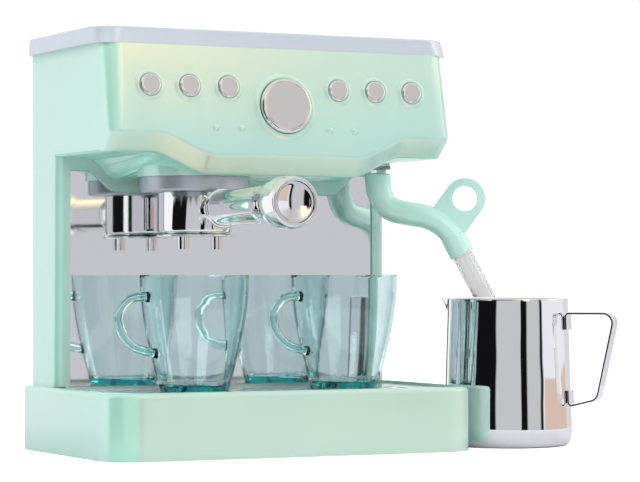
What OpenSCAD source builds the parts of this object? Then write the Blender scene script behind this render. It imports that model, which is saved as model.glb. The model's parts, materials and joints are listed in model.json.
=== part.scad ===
// Toy espresso machine with two see-through mugs and a milk jug.
// Millimetres, Z up, the front faces -Y. The origin lies on the table, under the middle of the width
// and a little in front of the middle of the base's depth.

/* [Machine] */
// Overall height, table to the top of the lid
total_h = 230; // [215:1:280]
// Width of the column and the head
body_w = 207; // [195:1:250]
// Wall of the moulded shells
wall = 2.4; // [2:0.1:3]

/* [Base] */
// Depth of the base
base_d = 136.5; // [130:0.5:160]
// Reach of the base in front of the origin
base_reach = 64.5; // [60:0.5:76]
// Height of the base's upper rim above the table
base_h = 35.8; // [32:0.2:46]
// How far the base stands out past the body on each side
base_step = 7; // [4:0.5:12]
// Radius of the two front corners
base_front_r = 21; // [12:1:26]
// Radius of the two rear corners
base_rear_r = 9; // [5:0.5:12]
// Rounding of the base's upper edge
base_edge_r = 2.4; // [1.2:0.2:3]
// Width of the rim round the tray
tray_rim = 4.4; // [3.6:0.2:8]
// Depth of the tray's upper face below the rim
tray_sink = 1.4; // [1:0.2:4]
// Thickness of the tray
tray_t = 1.8; // [1.4:0.1:3]
// Depth of the pan under the tray
pan_h = 7; // [4:0.5:12]
// Width of a drain slot
slot_w = 3; // [2:0.2:3.6]
// Length of a drain slot
slot_l = 27; // [12:1:28]
// Spacing of the drain slots
slot_pitch = 9; // [7:0.5:14]
// Thickness of the bottom plate
plate_t = 3; // [2.6:0.2:4]
// Height of the bottom plate above the table, inside the shell's rim
foot_lift = 0.6; // [0.4:0.1:2]
// Diameter of a rubber foot
foot_d = 16; // [10:1:20]

/* [Column and head] */
// Distance of the body's rear face from the base's rear face
rear_step = 1; // [0.5:0.5:3]
// Depth of the column
column_d = 35.3; // [32:0.1:44]
// Rounding of the column's upright edges
column_r = 6.4; // [3:0.2:8]
// Depth of the head at its upper edge
head_d = 107; // [98:1:116]
// Height of the head at its sides
head_h = 58; // [52:1:64]
// Lean of the control panel, in degrees
panel_tilt = 9.5; // [4:0.5:12]
// Radius of the head's front corners at their upper end
head_r_top = 11; // [7:0.5:13]
// Radius of the head's front corners just above the slanted strip
head_r = 7.4; // [5:0.2:10]
// Radius of the head's front corners below the slanted strip
head_r_low = 11; // [7:0.5:13]
// How far the middle of the head hangs below its sides
chin_drop = 11.5; // [6:0.5:14]
// Half width of the chin's flat middle, at the front
chin_flat = 43; // [30:1:46]
// Half width at which the chin's slopes end, at the front
chin_end = 76; // [70:1:84]
// Half width of the chin's flat middle, at the column
chin_flat_rear = 67; // [62:1:70]
// Half width at which the chin's slopes end, at the column
chin_end_rear = 85; // [82:1:90]
// Height of the slanted strip below the control panel
strip_h = 10.6; // [8:0.2:13]
// Depth of the slanted strip
strip_d = 9; // [6:0.5:12]
// Width of the frame beside the splash panel
frame_w = 9; // [7:0.2:14]
// Height of the frame above the splash panel
frame_top = 7.3; // [5:0.1:12]
// Depth of the splash panel behind the frame's face
frame_depth = 1.4; // [1:0.1:4]
// Thickness of the splash panel
splash_t = 1; // [0.8:0.1:2]

/* [Lid] */
// Thickness of the lid's edge
lid_t = 9.1; // [7:0.1:14]
// How far the lid stands out past the head on each side
lid_over = 4.5; // [3:0.1:8]
// How far the lid stands out behind the body
lid_rear_over = 4; // [1:0.5:6]
// Radius of the lid's corners at their lower edge
lid_r = 12.7; // [8:0.1:14]
// How much larger the front corners are at the lid's upper edge
lid_spread = 3.3; // [0:0.1:4]
// Spread of the lid's sides from top to bottom
lid_flare = 0.3; // [0.2:0.1:2]
// How far the lid's front leans back
lid_lean = 1.7; // [0.4:0.1:3]
// Rounding of the lid's upper edge
lid_edge = 1.2; // [0.6:0.1:2]
// Front of the lid behind the panel's upper edge
lid_back = 0.4; // [-2:0.1:4]

/* [Buttons and dial] */
// Distance of the row of buttons below the head's upper edge
button_drop = 22.1; // [19:0.1:25]
// Distance of the first button from the middle
button_first = 33.2; // [31:0.2:38]
// Spacing of the buttons
button_pitch = 22.85; // [21.5:0.05:25]
// Diameter of a button
button_d = 12; // [9:0.2:13]
// Travel of a button
button_travel = 1.6; // [1:0.1:2]
// Distance of the dial's middle below the head's upper edge
dial_drop = 31.8; // [28:0.1:34]
// Diameter of the dial
dial_d = 29.6; // [24:0.2:32]
// How far the dial stands out of the panel
dial_out = 3.9; // [3:0.1:8]
// Diameter of the dial's shaft
dial_shaft_d = 6; // [5:0.1:8]
// Width of the moulded ring round a button or the dial
ring_w = 1.7; // [1.2:0.1:2.4]
// Height of the moulded rings
ring_h = 0.9; // [0.5:0.1:1.5]
// Distance of the small dots below the head's upper edge
dot_drop = 44.1; // [41:0.1:45]
// Diameter of a dot
dot_d = 3; // [2:0.2:4]

/* [Brew group] */
// Middle of the brew group, side to side
group_x = -35.6; // [-38:0.1:-34]
// Middle of the brew group, front to back
group_y = -1; // [-4:0.5:2]
// Diameter of the group's collar
collar_d = 61; // [56:1:64]
// Height of the collar
collar_h = 8.3; // [7.5:0.1:10]
// Diameter of the holder's basket
basket_d = 41; // [36:0.5:44]
// Height of the basket
basket_h = 23; // [20:0.2:26]
// Wall of the basket
basket_wall = 1.6; // [1.2:0.1:2.4]
// Diameter of the neck that plugs into the collar
spigot_d = 36; // [30:0.5:36]
// Depth of the neck in the collar
spigot_h = 6; // [4:0.5:6.5]
// Diameter of a spout
spout_d = 6.9; // [5:0.1:8]
// Length of a spout
spout_l = 6.9; // [5:0.1:8.4]
// Thickness of the plate that carries the spouts
spout_plate_t = 1.3; // [1:0.1:2]
// Half the distance between the two spouts
spout_x = 10.2; // [8:0.1:12]
// Distance of the spouts in front of the basket's middle
spout_y = 7.4; // [5:0.1:9]
// Length of the handle from the basket's middle
handle_l = 127; // [110:1:132]
// Height of the handle's axis above the basket's bottom
handle_z = 13.2; // [11:0.2:14]
// Rise of the handle, in degrees
handle_rise = 0.7; // [0:0.1:3]
// Diameter of the handle's tube
handle_d = 19.6; // [14:0.2:21]
// Diameter of the handle's bell
handle_bell_d = 27.6; // [23:0.2:29]
// Diameter of the rim at the handle's end
handle_end_d = 25.2; // [21:0.2:27]

/* [Steam wand] */
// Distance of the wand's pivot from the body's right side
wand_inset = 18; // [16:0.5:19.5]
// Middle of the wand's pivot, front to back
wand_y = 12; // [8:0.5:14]
// Direction in which the wand is turned, in degrees from +X
wand_turn = -26.7; // [-30:0.1:0]
// Diameter of the arm at its pivot
arm_d = 15; // [14.4:0.1:15.4]
// Diameter of the arm at its bends
arm_thin_d = 13.6; // [12:0.2:14.4]
// Diameter of the pivot pin
pivot_d = 9.4; // [7:0.1:10]
// Outer diameter of the clear tube
tube_d = 11.4; // [9:0.1:12]
// Lean of the clear tube from upright, in degrees
tube_lean = 27.4; // [22:0.1:30]
// Diameter of the finger hole
loop_d = 14.6; // [12:0.2:16]
// Width of the ring round the finger hole
loop_w = 4.4; // [3:0.1:6]
// Thickness of the finger ring's plate
loop_t = 5; // [3:0.2:7]

/* [Mugs] */
// Height of a mug
mug_h = 63.2; // [54:0.2:66]
// Diameter of a mug at its rim
mug_d = 60; // [52:0.5:62]
// Diameter of a mug at its foot
mug_foot_d = 37.6; // [32:0.2:42]
// Wall of a mug
mug_wall = 1.5; // [1.2:0.1:2.4]
// Thickness of a mug's bottom
mug_bottom = 4; // [3:0.2:6]
// Thickness of a mug's handle
mug_handle_d = 5; // [4:0.2:6]
// Reach of a mug's handle from the mug's middle
mug_handle_reach = 50.5; // [44:0.5:52]
// Direction of the mugs' handles, in degrees from +X
mug_turn = 188; // [170:1:200]

/* [Milk jug] */
// Height of the jug
jug_h = 84.4; // [80:0.2:84.6]
// Diameter of the jug at its rim
jug_d = 68.8; // [60:0.2:72]
// Diameter of the jug above its foot
jug_foot_d = 74; // [66:0.5:78]
// Wall of the jug
jug_wall = 1.4; // [1.2:0.1:2.4]
// Reach of the jug's handle from the jug's middle
jug_reach = 66.3; // [58:0.1:76]
// Width of the handle's strap
strap_w = 11; // [8:0.5:14]
// Thickness of the handle's strap
strap_t = 2; // [1.6:0.1:3]
// Direction of the jug's handle, in degrees from +X
jug_turn = -46; // [-60:1:-30]
// Gap between the base's side and the jug
jug_gap = 3.5; // [2:0.5:12]
// Middle of the jug, front to back
jug_y = -24; // [-30:0.5:-8]

/* [Fits] */
// Gap between a moving round part and its hole, on the radius
fit_turn = 0.08; // [0.02:0.01:0.1]
// Gap round a piece that is dropped or screwed into its seat
fit_seat = 0.2; // [0.1:0.05:0.4]
// Gap round a screw's thread in its boss, on the radius
fit_screw = 0.05; // [0.02:0.01:0.1]

/* [Hidden] */
$fn = 48;

MINT = [0.73, 0.89, 0.84];
SILVER = [0.75, 0.78, 0.83];
CHROME = [0.82, 0.83, 0.85];
TEAL = [0.45, 0.72, 0.74, 0.5];
CLEAR = [0.92, 0.94, 0.95, 0.5];

// Levels and faces that the sizes above lead to
base_w = body_w + 2 * base_step;
base_rear = base_d - base_reach;
base_front = -base_reach;
tray_top = base_h - tray_sink;
recess_z = tray_top - tray_t;
body_rear = base_rear - rear_step;
column_front = body_rear - column_d;
lip_d = 4;
tray_rear = column_front - fit_seat;
recess_rear = column_front + lip_d + fit_seat;
cover_t = 3;
head_top = total_h - lid_t;
head_low = head_top - head_h;
chin_low = head_low - chin_drop;
panel_top = body_rear - head_d;
splash_y = column_front + frame_depth;
splash_w = body_w - 2 * frame_w;
splash_low = tray_top + 1.1;
backing_y = splash_y + splash_t;
cover_front = body_rear - cover_t;

// Screws: thread, head, boss, and the wider hole in the piece that a screw holds down
screw_d = 2.6;
screw_head_d = 5.6;
screw_head_h = 1.5;
boss_d = 7.6;
clear_hole_d = screw_d + 0.8;
screw_long = 12;

// Places of the base's screws and feet, of the screws that hold the column, and of the tray's pegs
base_boss_x = base_w / 2 - 15;
base_boss = [
    for (x = [-1, 1]) [x * base_boss_x, base_front + 24],
    for (x = [-1, 1]) [x * base_boss_x, base_rear - 10],
    [0, base_front + 9], [0, base_rear - 8]
];
foot_spot = [for (x = [-1, 1], y = [base_front + 18, base_rear - 18]) [x * (base_w / 2 - 28), y]];
foot_seat = 1.6;
column_screw_spot = [for (x = [-0.4, -0.15, 0.15, 0.4]) [x * body_w, body_rear - 12]];
tray_peg = [for (x = [-1, 1], y = [base_front + 30, tray_rear - 8]) [x * (base_w / 2 - tray_rim - 8), y]];
peg_d = 4;
peg_h = 5;

// The pan under the slots, and the rows of slots
pan_w = base_w - 2 * tray_rim - 30;
pan_front = base_front + 17;
pan_rear = tray_rear - 14;
slot_rows = 2;
row_gap = 4;
slot_count = floor((pan_w - slot_w - 2) / slot_pitch / 2);

// Screws of the rear cover
cover_boss_x = body_w / 2 - wall - boss_d / 2 - 1;
cover_boss_z = [base_h + 14, (base_h + head_low) / 2, head_low + 8, head_top - 14];
cover_boss = [for (x = [-1, 1], z = cover_boss_z) [x * cover_boss_x, z]];
cover_boss_l = 15;

// Places on the control panel, and the depths of what is fixed behind it
button_z = head_top - button_drop;
dial_z = head_top - dial_drop;
dot_z = head_top - dot_drop;
button_x = [for (side = [-1, 1], i = [0:2])
    side < 0 ? -button_first - (2 - i) * button_pitch : button_first + i * button_pitch];
dot_x = [for (side = [-1, 1], i = [0, 1]) side * (26.6 + i * 15.3)];
post_x = [for (side = [-1, 1], i = [0, 1]) side * (button_first + (i + 0.5) * button_pitch)];
post_d = 6;
sheet_t = 1;
dome_h = button_travel + 1.4;
flange_t = 1.2;
pad_top = -wall - fit_seat - flange_t - 1;
carrier_z = pad_top - sheet_t - dome_h;
post_l = -wall - carrier_z;
carrier_t = 2;
carrier_w = 2 * (button_first + 2 * button_pitch + 9);
dial_boss_l = 5.6;
dial_boss_z = -wall - dial_boss_l;
dial_end = dial_boss_z - fit_seat;
washer_t = 1;

// The round pad under the head, and the neck and screws of the collar
pad_d = collar_d + 3;
group_pad_h = 9;
neck_d = collar_d - 17;
collar_screw_r = collar_d / 2 - 4.5;
collar_screw_turn = [90, 210, 330];

// The holder: basket, stud and handle
basket_top = chin_low - collar_h - fit_seat;
basket_low = basket_top - basket_h;
stud_d = 11;
stud_l = basket_d / 2 + 4;
handle_peg_d = 6;
handle_peg_l = 6;
cap_seat = 4;
cap_r = handle_end_d / 2 - 2;

// The wand's pivot: a pad under the head, a pin that hangs from it, and the arm's top
wand_x = body_w / 2 - wand_inset;
pivot_pad_d = 17.4;
pivot_pad_h = 5;
pivot_bore = 8.2;
pad_low = head_low - 0.6;
pin_flange_t = 4;
pin_flange_d = arm_d + 0.2;
pin_flange_edge = 0.8;
pivot_washer_d = pivot_bore + 4;
pin_bead = 1.2;
pin_l = 8;
pin_top = pad_low + pivot_pad_h;
arm_gap = 2.2;
arm_top = pad_low - pin_flange_t - arm_gap;

// Where the mugs and the jug stand
mug_left_at = [-41.4, -13.5];
mug_right_at = [54, -6.5];
jug_at = [base_w / 2 + jug_gap + jug_foot_d / 2, jug_y];
jug_foot_r = 5;
strap_top = jug_h - 8;
strap_low = 22;
tab_gap = 0.05;
tube_tip_z = jug_h + 0.6;

// The control panel's face at a height, and the frame that stands on it, +Z outwards
function panel_y(z) = panel_top - (head_top - z) * tan(panel_tilt);

module on_panel(x, z) {
    translate([x, panel_y(z), z])
        rotate([90 - panel_tilt, 0, 0])
            children();
}

// The brew group's frame, with its origin on the table
module at_group() {
    translate([group_x, group_y, 0])
        children();
}

// A flat outline with two front and two rear corner radii, centred on x
module plan(width, front, rear, front_r, rear_r) {
    half = width / 2;
    middle = (front + rear) / 2;
    translate([-half, front + front_r])
        square([width, rear - front - front_r - rear_r]);
    translate([-half + front_r, front])
        square([width - 2 * front_r, middle - front]);
    translate([-half + rear_r, middle - 1])
        square([width - 2 * rear_r, rear - middle + 1]);
    for (side = [-1, 1]) {
        translate([side * (half - front_r), front + front_r])
            circle(front_r);
        translate([side * (half - rear_r), rear - rear_r])
            circle(rear_r);
    }
}

// Joins rings of equally many points into one closed skin
module skin(rings) {
    n = len(rings[0]);
    m = len(rings);
    points = [for (ring = rings) each ring];
    sides = [for (j = [0:m - 2], i = [0:n - 1])
        let (a = j * n + i, b = j * n + (i + 1) % n)
        each [[a, a + n, b], [b, a + n, b + n]]];
    end = (m - 1) * n;
    caps = [for (i = [1:n - 2]) each [[0, i, i + 1], [end, end + i + 1, end + i]]];
    polyhedron(points, concat(sides, caps));
}

// The same outline as a ring of points at a height
function plan_ring(width, front, rear, front_r, rear_r, z) = [
    for (quarter = [0:3], step = [0:8])
        let (
            turn = quarter * 90 - 90 + step * 90 / 8,
            r = quarter == 0 || quarter == 3 ? front_r : rear_r,
            x = (quarter < 2 ? 1 : -1) * (width / 2 - r),
            y = quarter == 0 || quarter == 3 ? front + r : rear - r
        )
        [x + r * cos(turn), y + r * sin(turn), z]
];

// A slab of that outline whose upper edge is rounded in steps. The lower edge can stand out at the
// sides and at the front, and have smaller front corners: spread = [sides, front, radius].
module soft_slab(width, front, rear, front_r, rear_r, low, high, edge, spread = [0, 0, 0]) {
    skin(concat(
        [plan_ring(width + 2 * spread[0], front - spread[1], rear, front_r - spread[2], rear_r, low)],
        [for (turn = [0:22.5:90])
            let (inset = edge * (1 - cos(turn)))
            plan_ring(width - 2 * inset, front + inset, rear - inset, front_r - inset,
                max(0.5, rear_r - inset), high - edge + edge * sin(turn))]
    ));
}

// A smooth curve through the given points, with a number of steps between each two
function spline(p, steps) = [
    for (i = [0:len(p) - 2], k = [0:steps - (i == len(p) - 2 ? 0 : 1)])
        let (
            t = k / steps,
            a = p[max(0, i - 1)],
            b = p[i],
            c = p[i + 1],
            d = p[min(len(p) - 1, i + 2)]
        )
        0.5 * (2 * b + (c - a) * t + (2 * a - 5 * b + 4 * c - d) * t * t
            + (3 * b - a - 3 * c + d) * t * t * t)
];

// A round bar along a curve in the XZ plane; each point is [x, z, radius]
module bar(path, sides) {
    last = len(path) - 1;
    skin([for (i = [0:last])
        let (
            ahead = path[min(last, i + 1)] - path[max(0, i - 1)],
            length = norm([ahead[0], ahead[1]]),
            across = [-ahead[1], ahead[0]] / length,
            r = path[i][2]
        )
        [for (k = [0:sides - 1])
            let (turn = 360 * k / sides)
            [path[i][0] + r * cos(turn) * across[0], -r * sin(turn), path[i][1] + r * cos(turn) * across[1]]]
    ]);
}

// A self-tapping screw that points up, with the seat of its head at the origin
module screw_up(length) {
    cylinder(d = screw_d, h = length);
    translate([0, 0, -screw_head_h])
        cylinder(d = screw_head_d, h = screw_head_h);
}

// The hole for such a screw's thread
module thread_hole(length) {
    cylinder(d = screw_d + 2 * fit_screw, h = length);
}

// The recess for the tray, and with a gap the tray itself
module recess_outline(rear, gap) {
    plan(base_w - 2 * tray_rim - 2 * gap, base_front + tray_rim + gap, rear,
        base_front_r - tray_rim - gap, 1);
}

module base_shell() {
    color(MINT) {
        difference() {
            soft_slab(base_w, base_front, base_rear, base_front_r, base_rear_r, 0, base_h, base_edge_r);
            // the hollow under the top
            translate([0, 0, -1])
                linear_extrude(base_h - wall + 1)
                    plan(base_w - 2 * wall, base_front + wall, base_rear - wall,
                        base_front_r - wall, base_rear_r - wall);
            recess_cut();
            for (p = column_screw_spot)
                translate([p[0], p[1], base_h - wall - 1])
                    cylinder(d = clear_hole_d, h = wall + 2);
        }
        difference() {
            union() {
                // the tub that carries the tray, and its pan
                translate([0, 0, recess_z - wall])
                    linear_extrude(base_h - wall / 2 - recess_z + wall)
                        plan(base_w - 2 * tray_rim + 2 * wall, base_front + tray_rim - wall,
                            recess_rear + wall, base_front_r - tray_rim + wall, 1 + wall);
                translate([-pan_w / 2 - wall, pan_front - wall, recess_z - pan_h - wall])
                    cube([pan_w + 2 * wall, pan_rear - pan_front + 2 * wall, pan_h + wall]);
                // screw bosses and the sockets of the tray's pegs
                for (p = base_boss)
                    translate([p[0], p[1], foot_lift + plate_t])
                        cylinder(d = boss_d, h = base_h - wall / 2 - foot_lift - plate_t);
                for (p = tray_peg)
                    translate([p[0], p[1], recess_z - peg_h - 1.5])
                        cylinder(d = peg_d + 3, h = peg_h + 1.5);
            }
            recess_cut();
            for (p = base_boss)
                translate([p[0], p[1], foot_lift])
                    thread_hole(screw_long + 3);
            for (p = tray_peg)
                translate([p[0], p[1], recess_z - peg_h - 0.3])
                    cylinder(d = peg_d + 2 * fit_seat, h = peg_h + 1);
        }
    }
}

module recess_cut() {
    translate([0, 0, recess_z])
        linear_extrude(base_h)
            recess_outline(recess_rear, 0);
    translate([-pan_w / 2, pan_front, recess_z - pan_h])
        cube([pan_w, pan_rear - pan_front, pan_h + 1]);
}

module base_plate() {
    color(MINT * 0.8)
        difference() {
            translate([0, 0, foot_lift])
                linear_extrude(plate_t)
                    plan(base_w - 2 * wall - 2 * fit_seat, base_front + wall + fit_seat,
                        base_rear - wall - fit_seat, base_front_r - wall - fit_seat, base_rear_r - wall);
            for (p = base_boss)
                translate([p[0], p[1], foot_lift - 1]) {
                    cylinder(d = clear_hole_d, h = plate_t + 2);
                    cylinder(d = screw_head_d + 2 * fit_seat, h = screw_head_h + 1 + fit_seat);
                }
            for (p = foot_spot)
                translate([p[0], p[1], foot_lift - 1])
                    cylinder(d = foot_d + 2 * fit_seat, h = foot_seat + 1);
        }
}

module rubber_feet() {
    color("dimgray")
        for (p = foot_spot)
            translate([p[0], p[1], 0]) {
                cylinder(d1 = foot_d - 1, d2 = foot_d, h = foot_lift);
                translate([0, 0, foot_lift])
                    cylinder(d = foot_d, h = foot_seat);
            }
}

module base_screws() {
    color("gray")
        for (p = base_boss)
            translate([p[0], p[1], foot_lift + screw_head_h + fit_seat])
                screw_up(screw_long);
}

module drip_tray() {
    color(SILVER) {
        difference() {
            translate([0, 0, recess_z])
                linear_extrude(tray_t)
                    recess_outline(tray_rear, fit_seat);
            for (row = [0:slot_rows - 1], i = [0:2 * slot_count])
                translate([
                    (i - slot_count) * slot_pitch,
                    pan_front + 2 + row * (slot_l + row_gap),
                    recess_z - 1
                ])
                    drain_slot();
        }
        for (p = tray_peg)
            translate([p[0], p[1], recess_z - peg_h])
                cylinder(d = peg_d, h = peg_h + tray_t / 2);
    }
}

module drain_slot() {
    linear_extrude(tray_t + 2) {
        translate([-slot_w / 2, slot_w / 2])
            square([slot_w, slot_l - slot_w]);
        for (y = [slot_w / 2, slot_l - slot_w / 2])
            translate([0, y])
                circle(d = slot_w);
    }
}

// How far the chin has come down at x: 1 in the flat middle, 0 at the sides, smooth between
function chin_share(x, flat, end) =
    let (t = max(0, min(1, (end - abs(x)) / (end - flat))))
    t * t * (3 - 2 * t);

// Height of the head's underside at x, where it meets the column
function rear_low(x) = head_low - chin_drop * chin_share(x, chin_flat_rear, chin_end_rear);

// How far a rounded corner of radius r has turned in at x
function turned_in(x, half, r) =
    let (over = max(0, abs(x) - half + r))
    r - sqrt(max(0, r * r - over * over));

// A corner between two directions, eased with a curve that begins at the given reach
function eased(corner, from, to, reach) = [
    for (k = [0:3])
        let (t = k / 3, a = corner - from * reach, b = corner + to * reach)
        (1 - t) * (1 - t) * a + 2 * t * (1 - t) * corner + t * t * b
];

// The head's section at x, lying in by t from the outer face; it runs back past the cover and up past the lid
function head_section(x, half, t, rear, top) =
    let (
        back = turned_in(x, half, max(0.6, head_r - t)),
        back_top = turned_in(x, half, max(0.6, head_r_top - t)),
        back_low = turned_in(x, half, max(0.6, head_r_low - t)),
        up = turned_in(x, half, max(0.6, 3 - t)),
        strip_turn = atan2(strip_d, strip_h),
        low = head_low - chin_drop * chin_share(x, chin_flat, chin_end),
        crease_z = low + strip_h + t * tan((panel_tilt + strip_turn) / 2),
        crease = [panel_y(crease_z) + t / cos(panel_tilt) + back, crease_z + up],
        edge = [panel_y(low + strip_h) + strip_d + t * tan((90 - strip_turn) / 2) + back_low, low + t + up],
        down = [-sin(panel_tilt), -cos(panel_tilt)],
        strip = (edge - crease) / norm(edge - crease),
        under = rear_low(x) + t + up
    )
    concat(
        [[rear, top], [panel_y(top) + t / cos(panel_tilt) + back_top, top]],
        eased(crease, down, strip, 1.6),
        eased(edge, strip, [1, 0], 1.6),
        [[column_front, under], [rear, under]]
    );

// Places along x at which the head's section is taken
function head_places(half, r) =
    let (
        slope = [for (k = [0:10]) chin_flat + (chin_end_rear - chin_flat) * k / 10],
        corner = [for (turn = [0:18:90]) half - r + r * sin(turn)],
        right = concat(slope, corner)
    )
    concat([for (i = [len(right) - 1:-1:0]) -right[i]], right);

module head_body(t, rear, top) {
    half = body_w / 2 - t;
    skin([for (x = head_places(half, max(0.6, head_r_top - t)))
        [for (p = head_section(x, half, t, rear, top)) [x, p[0], p[1]]]]);
}

// Outline of the splash panel in the XZ plane; its upper edge follows the head's underside
module splash_outline(gap) {
    half = splash_w / 2 - gap;
    places = concat([half], [for (k = [12:-1:0]) chin_flat_rear + (chin_end_rear - chin_flat_rear) * k / 12]);
    right = [for (x = places) [x, rear_low(x) - frame_top - gap]];
    polygon(concat([[-half, splash_low + gap], [half, splash_low + gap]], right,
        [for (i = [len(right) - 1:-1:0]) [-right[i][0], right[i][1]]]));
}

// Something drawn in the XZ plane and pulled back along +Y from a face
module upright(face, depth) {
    translate([0, face + depth, 0])
        rotate([90, 0, 0])
            linear_extrude(depth)
                children();
}

// A moulded ring with a round top that stands on the panel
module panel_ring(bore) {
    rotate_extrude() {
        translate([bore / 2, -0.5])
            square([ring_w, ring_h - ring_w / 2 + 0.5]);
        translate([bore / 2 + ring_w / 2, ring_h - ring_w / 2])
            circle(d = ring_w);
    }
}

module housing() {
    color(MINT) {
        difference() {
            union() {
                head_body(0, body_rear, head_top);
                translate([0, 0, base_h])
                    linear_extrude(head_low + 5 - base_h)
                        plan(body_w, column_front, body_rear, column_r, 1);
                translate([-body_w / 2 + column_r, column_front, recess_z + fit_seat])
                    cube([body_w - 2 * column_r, lip_d, base_h - recess_z]);
            }
            head_body(wall, body_rear + 1, head_top + 1);
            // the column's hollow, open to the head and to the rear
            translate([-body_w / 2 + wall, backing_y + wall, base_h + wall])
                cube([body_w - 2 * wall, body_rear, head_low + 8 - base_h]);
            // the seat of the splash panel
            upright(column_front - 1, frame_depth + splash_t + 1)
                splash_outline(0);
            panel_bores();
            // room for the group's pad and for the wand's pivot
            at_group() {
                translate([0, 0, chin_low - 10])
                    cylinder(d = pad_d - 1, h = 10 + wall);
                translate([0, 0, chin_low])
                    cylinder(d = pad_d - 2 * wall, h = group_pad_h + 1);
            }
            translate([wand_x, wand_y, pad_low - chin_drop])
                cylinder(d = pivot_pad_d - 1, h = chin_drop);
            translate([wand_x, wand_y, pad_low - 1])
                cylinder(d = pivot_bore, h = chin_drop);
            for (p = column_screw_spot)
                translate([p[0], p[1], base_h - 1])
                    thread_hole(screw_long + 2);
        }
        difference() {
            panel_fittings();
            panel_bores();
        }
        // dots on the panel
        for (x = dot_x)
            on_panel(x, dot_z)
                translate([0, 0, -0.3])
                    sphere(d = dot_d);
        group_pad();
        pivot_pad();
        cover_bosses();
        column_bosses();
    }
}

module panel_bores() {
    for (x = button_x)
        on_panel(x, button_z)
            translate([0, 0, -wall - 1])
                cylinder(d = button_d + 2 * fit_seat, h = wall + 4);
    on_panel(0, dial_z)
        translate([0, 0, dial_boss_z - 1])
            cylinder(d = dial_shaft_d + 2 * fit_turn, h = dial_boss_l + wall + 4);
}

// The rings on the panel's face, and the boss and posts behind it
module panel_fittings() {
    for (x = button_x)
        on_panel(x, button_z)
            panel_ring(button_d + 2 * fit_seat);
    on_panel(0, dial_z) {
        panel_ring(dial_d + 1);
        translate([0, 0, dial_boss_z])
            cylinder(d = dial_shaft_d + 6, h = dial_boss_l + 1);
    }
    for (x = post_x)
        on_panel(x, button_z)
            difference() {
                translate([0, 0, carrier_z])
                    cylinder(d = post_d, h = post_l + 1);
                translate([0, 0, carrier_z - 1])
                    thread_hole(post_l);
            }
}

// A round pad under the head that squares the chin up to the collar
module group_pad() {
    at_group()
        difference() {
            translate([0, 0, chin_low])
                cylinder(d = pad_d, h = group_pad_h);
            translate([0, 0, chin_low + wall])
                cylinder(d = pad_d - 2 * wall, h = group_pad_h);
            translate([0, 0, chin_low - 1])
                cylinder(d = neck_d + 2 * fit_seat, h = wall + 2);
            for (turn = collar_screw_turn)
                rotate([0, 0, turn])
                    translate([collar_screw_r, 0, chin_low - 1])
                        cylinder(d = clear_hole_d, h = wall + 2);
        }
}

// The pad that the wand's pivot passes through
module pivot_pad() {
    translate([wand_x, wand_y, pad_low])
        difference() {
            cylinder(d = pivot_pad_d, h = pivot_pad_h);
            translate([0, 0, -1])
                cylinder(d = pivot_bore, h = pivot_pad_h + 2);
        }
}

module cover_bosses() {
    for (p = cover_boss) {
        side = p[0] < 0 ? -1 : 1;
        start = p[1] < head_low ? backing_y + wall - 0.5 : cover_front - cover_boss_l;
        difference() {
            union() {
                translate([p[0], start, p[1]])
                    rotate([-90, 0, 0])
                        cylinder(d = boss_d, h = cover_front - start);
                translate([p[0] + side * (boss_d / 4 + 1.5) - boss_d / 4 - 1, start, p[1] - 1])
                    cube([boss_d / 2 + 2, cover_front - start, 2]);
            }
            translate([p[0], cover_front + 1, p[1]])
                rotate([90, 0, 0])
                    thread_hole(14);
        }
    }
}

module column_bosses() {
    for (p = column_screw_spot)
        translate([p[0], p[1], base_h + wall - 0.5])
            difference() {
                cylinder(d = boss_d, h = 12.5);
                translate([0, 0, -1])
                    thread_hole(11.6);
            }
}

module column_screws() {
    color("gray")
        for (p = column_screw_spot)
            translate([p[0], p[1], base_h - wall])
                screw_up(screw_long);
}

module back_cover() {
    color(MINT)
        difference() {
            translate([-body_w / 2 + wall + fit_seat, cover_front, base_h + wall + fit_seat])
                cube([body_w - 2 * wall - 2 * fit_seat, cover_t, head_top - base_h - wall - 2 * fit_seat]);
            for (p = cover_boss)
                translate([p[0], body_rear + 1, p[1]])
                    rotate([90, 0, 0]) {
                        cylinder(d = clear_hole_d, h = cover_t + 2);
                        cylinder(d = screw_head_d + 2 * fit_seat, h = screw_head_h + 1 + fit_seat);
                    }
        }
}

module back_cover_screws() {
    color("gray")
        for (p = cover_boss)
            translate([p[0], body_rear - screw_head_h - fit_seat, p[1]])
                rotate([90, 0, 0])
                    screw_up(screw_long);
}

module splash_panel() {
    color(SILVER)
        upright(splash_y, splash_t)
            splash_outline(fit_seat);
}

// A moulded cap: a shell with a plug that drops into the head
module lid() {
    plug_front = panel_top + wall / cos(panel_tilt) + fit_seat;
    plug_rear = cover_front - fit_seat;
    plug_w = body_w - 2 * wall - 2 * fit_seat;
    color(SILVER)
        difference() {
            union() {
                soft_slab(body_w + 2 * (lid_over - lid_flare), panel_top + lid_back + lid_lean,
                    body_rear + lid_rear_over, lid_r + lid_spread, lid_r, head_top, total_h, lid_edge,
                    [lid_flare, lid_lean, lid_spread]);
                translate([0, 0, head_top - 4])
                    linear_extrude(5)
                        plan(plug_w, plug_front, plug_rear, max(0.6, head_r_top - wall), 1);
            }
            translate([0, 0, head_top - 5])
                linear_extrude(lid_t + 5 - wall)
                    plan(plug_w - 4, plug_front + 2, plug_rear - 2, 1, 1);
        }
}

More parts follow.
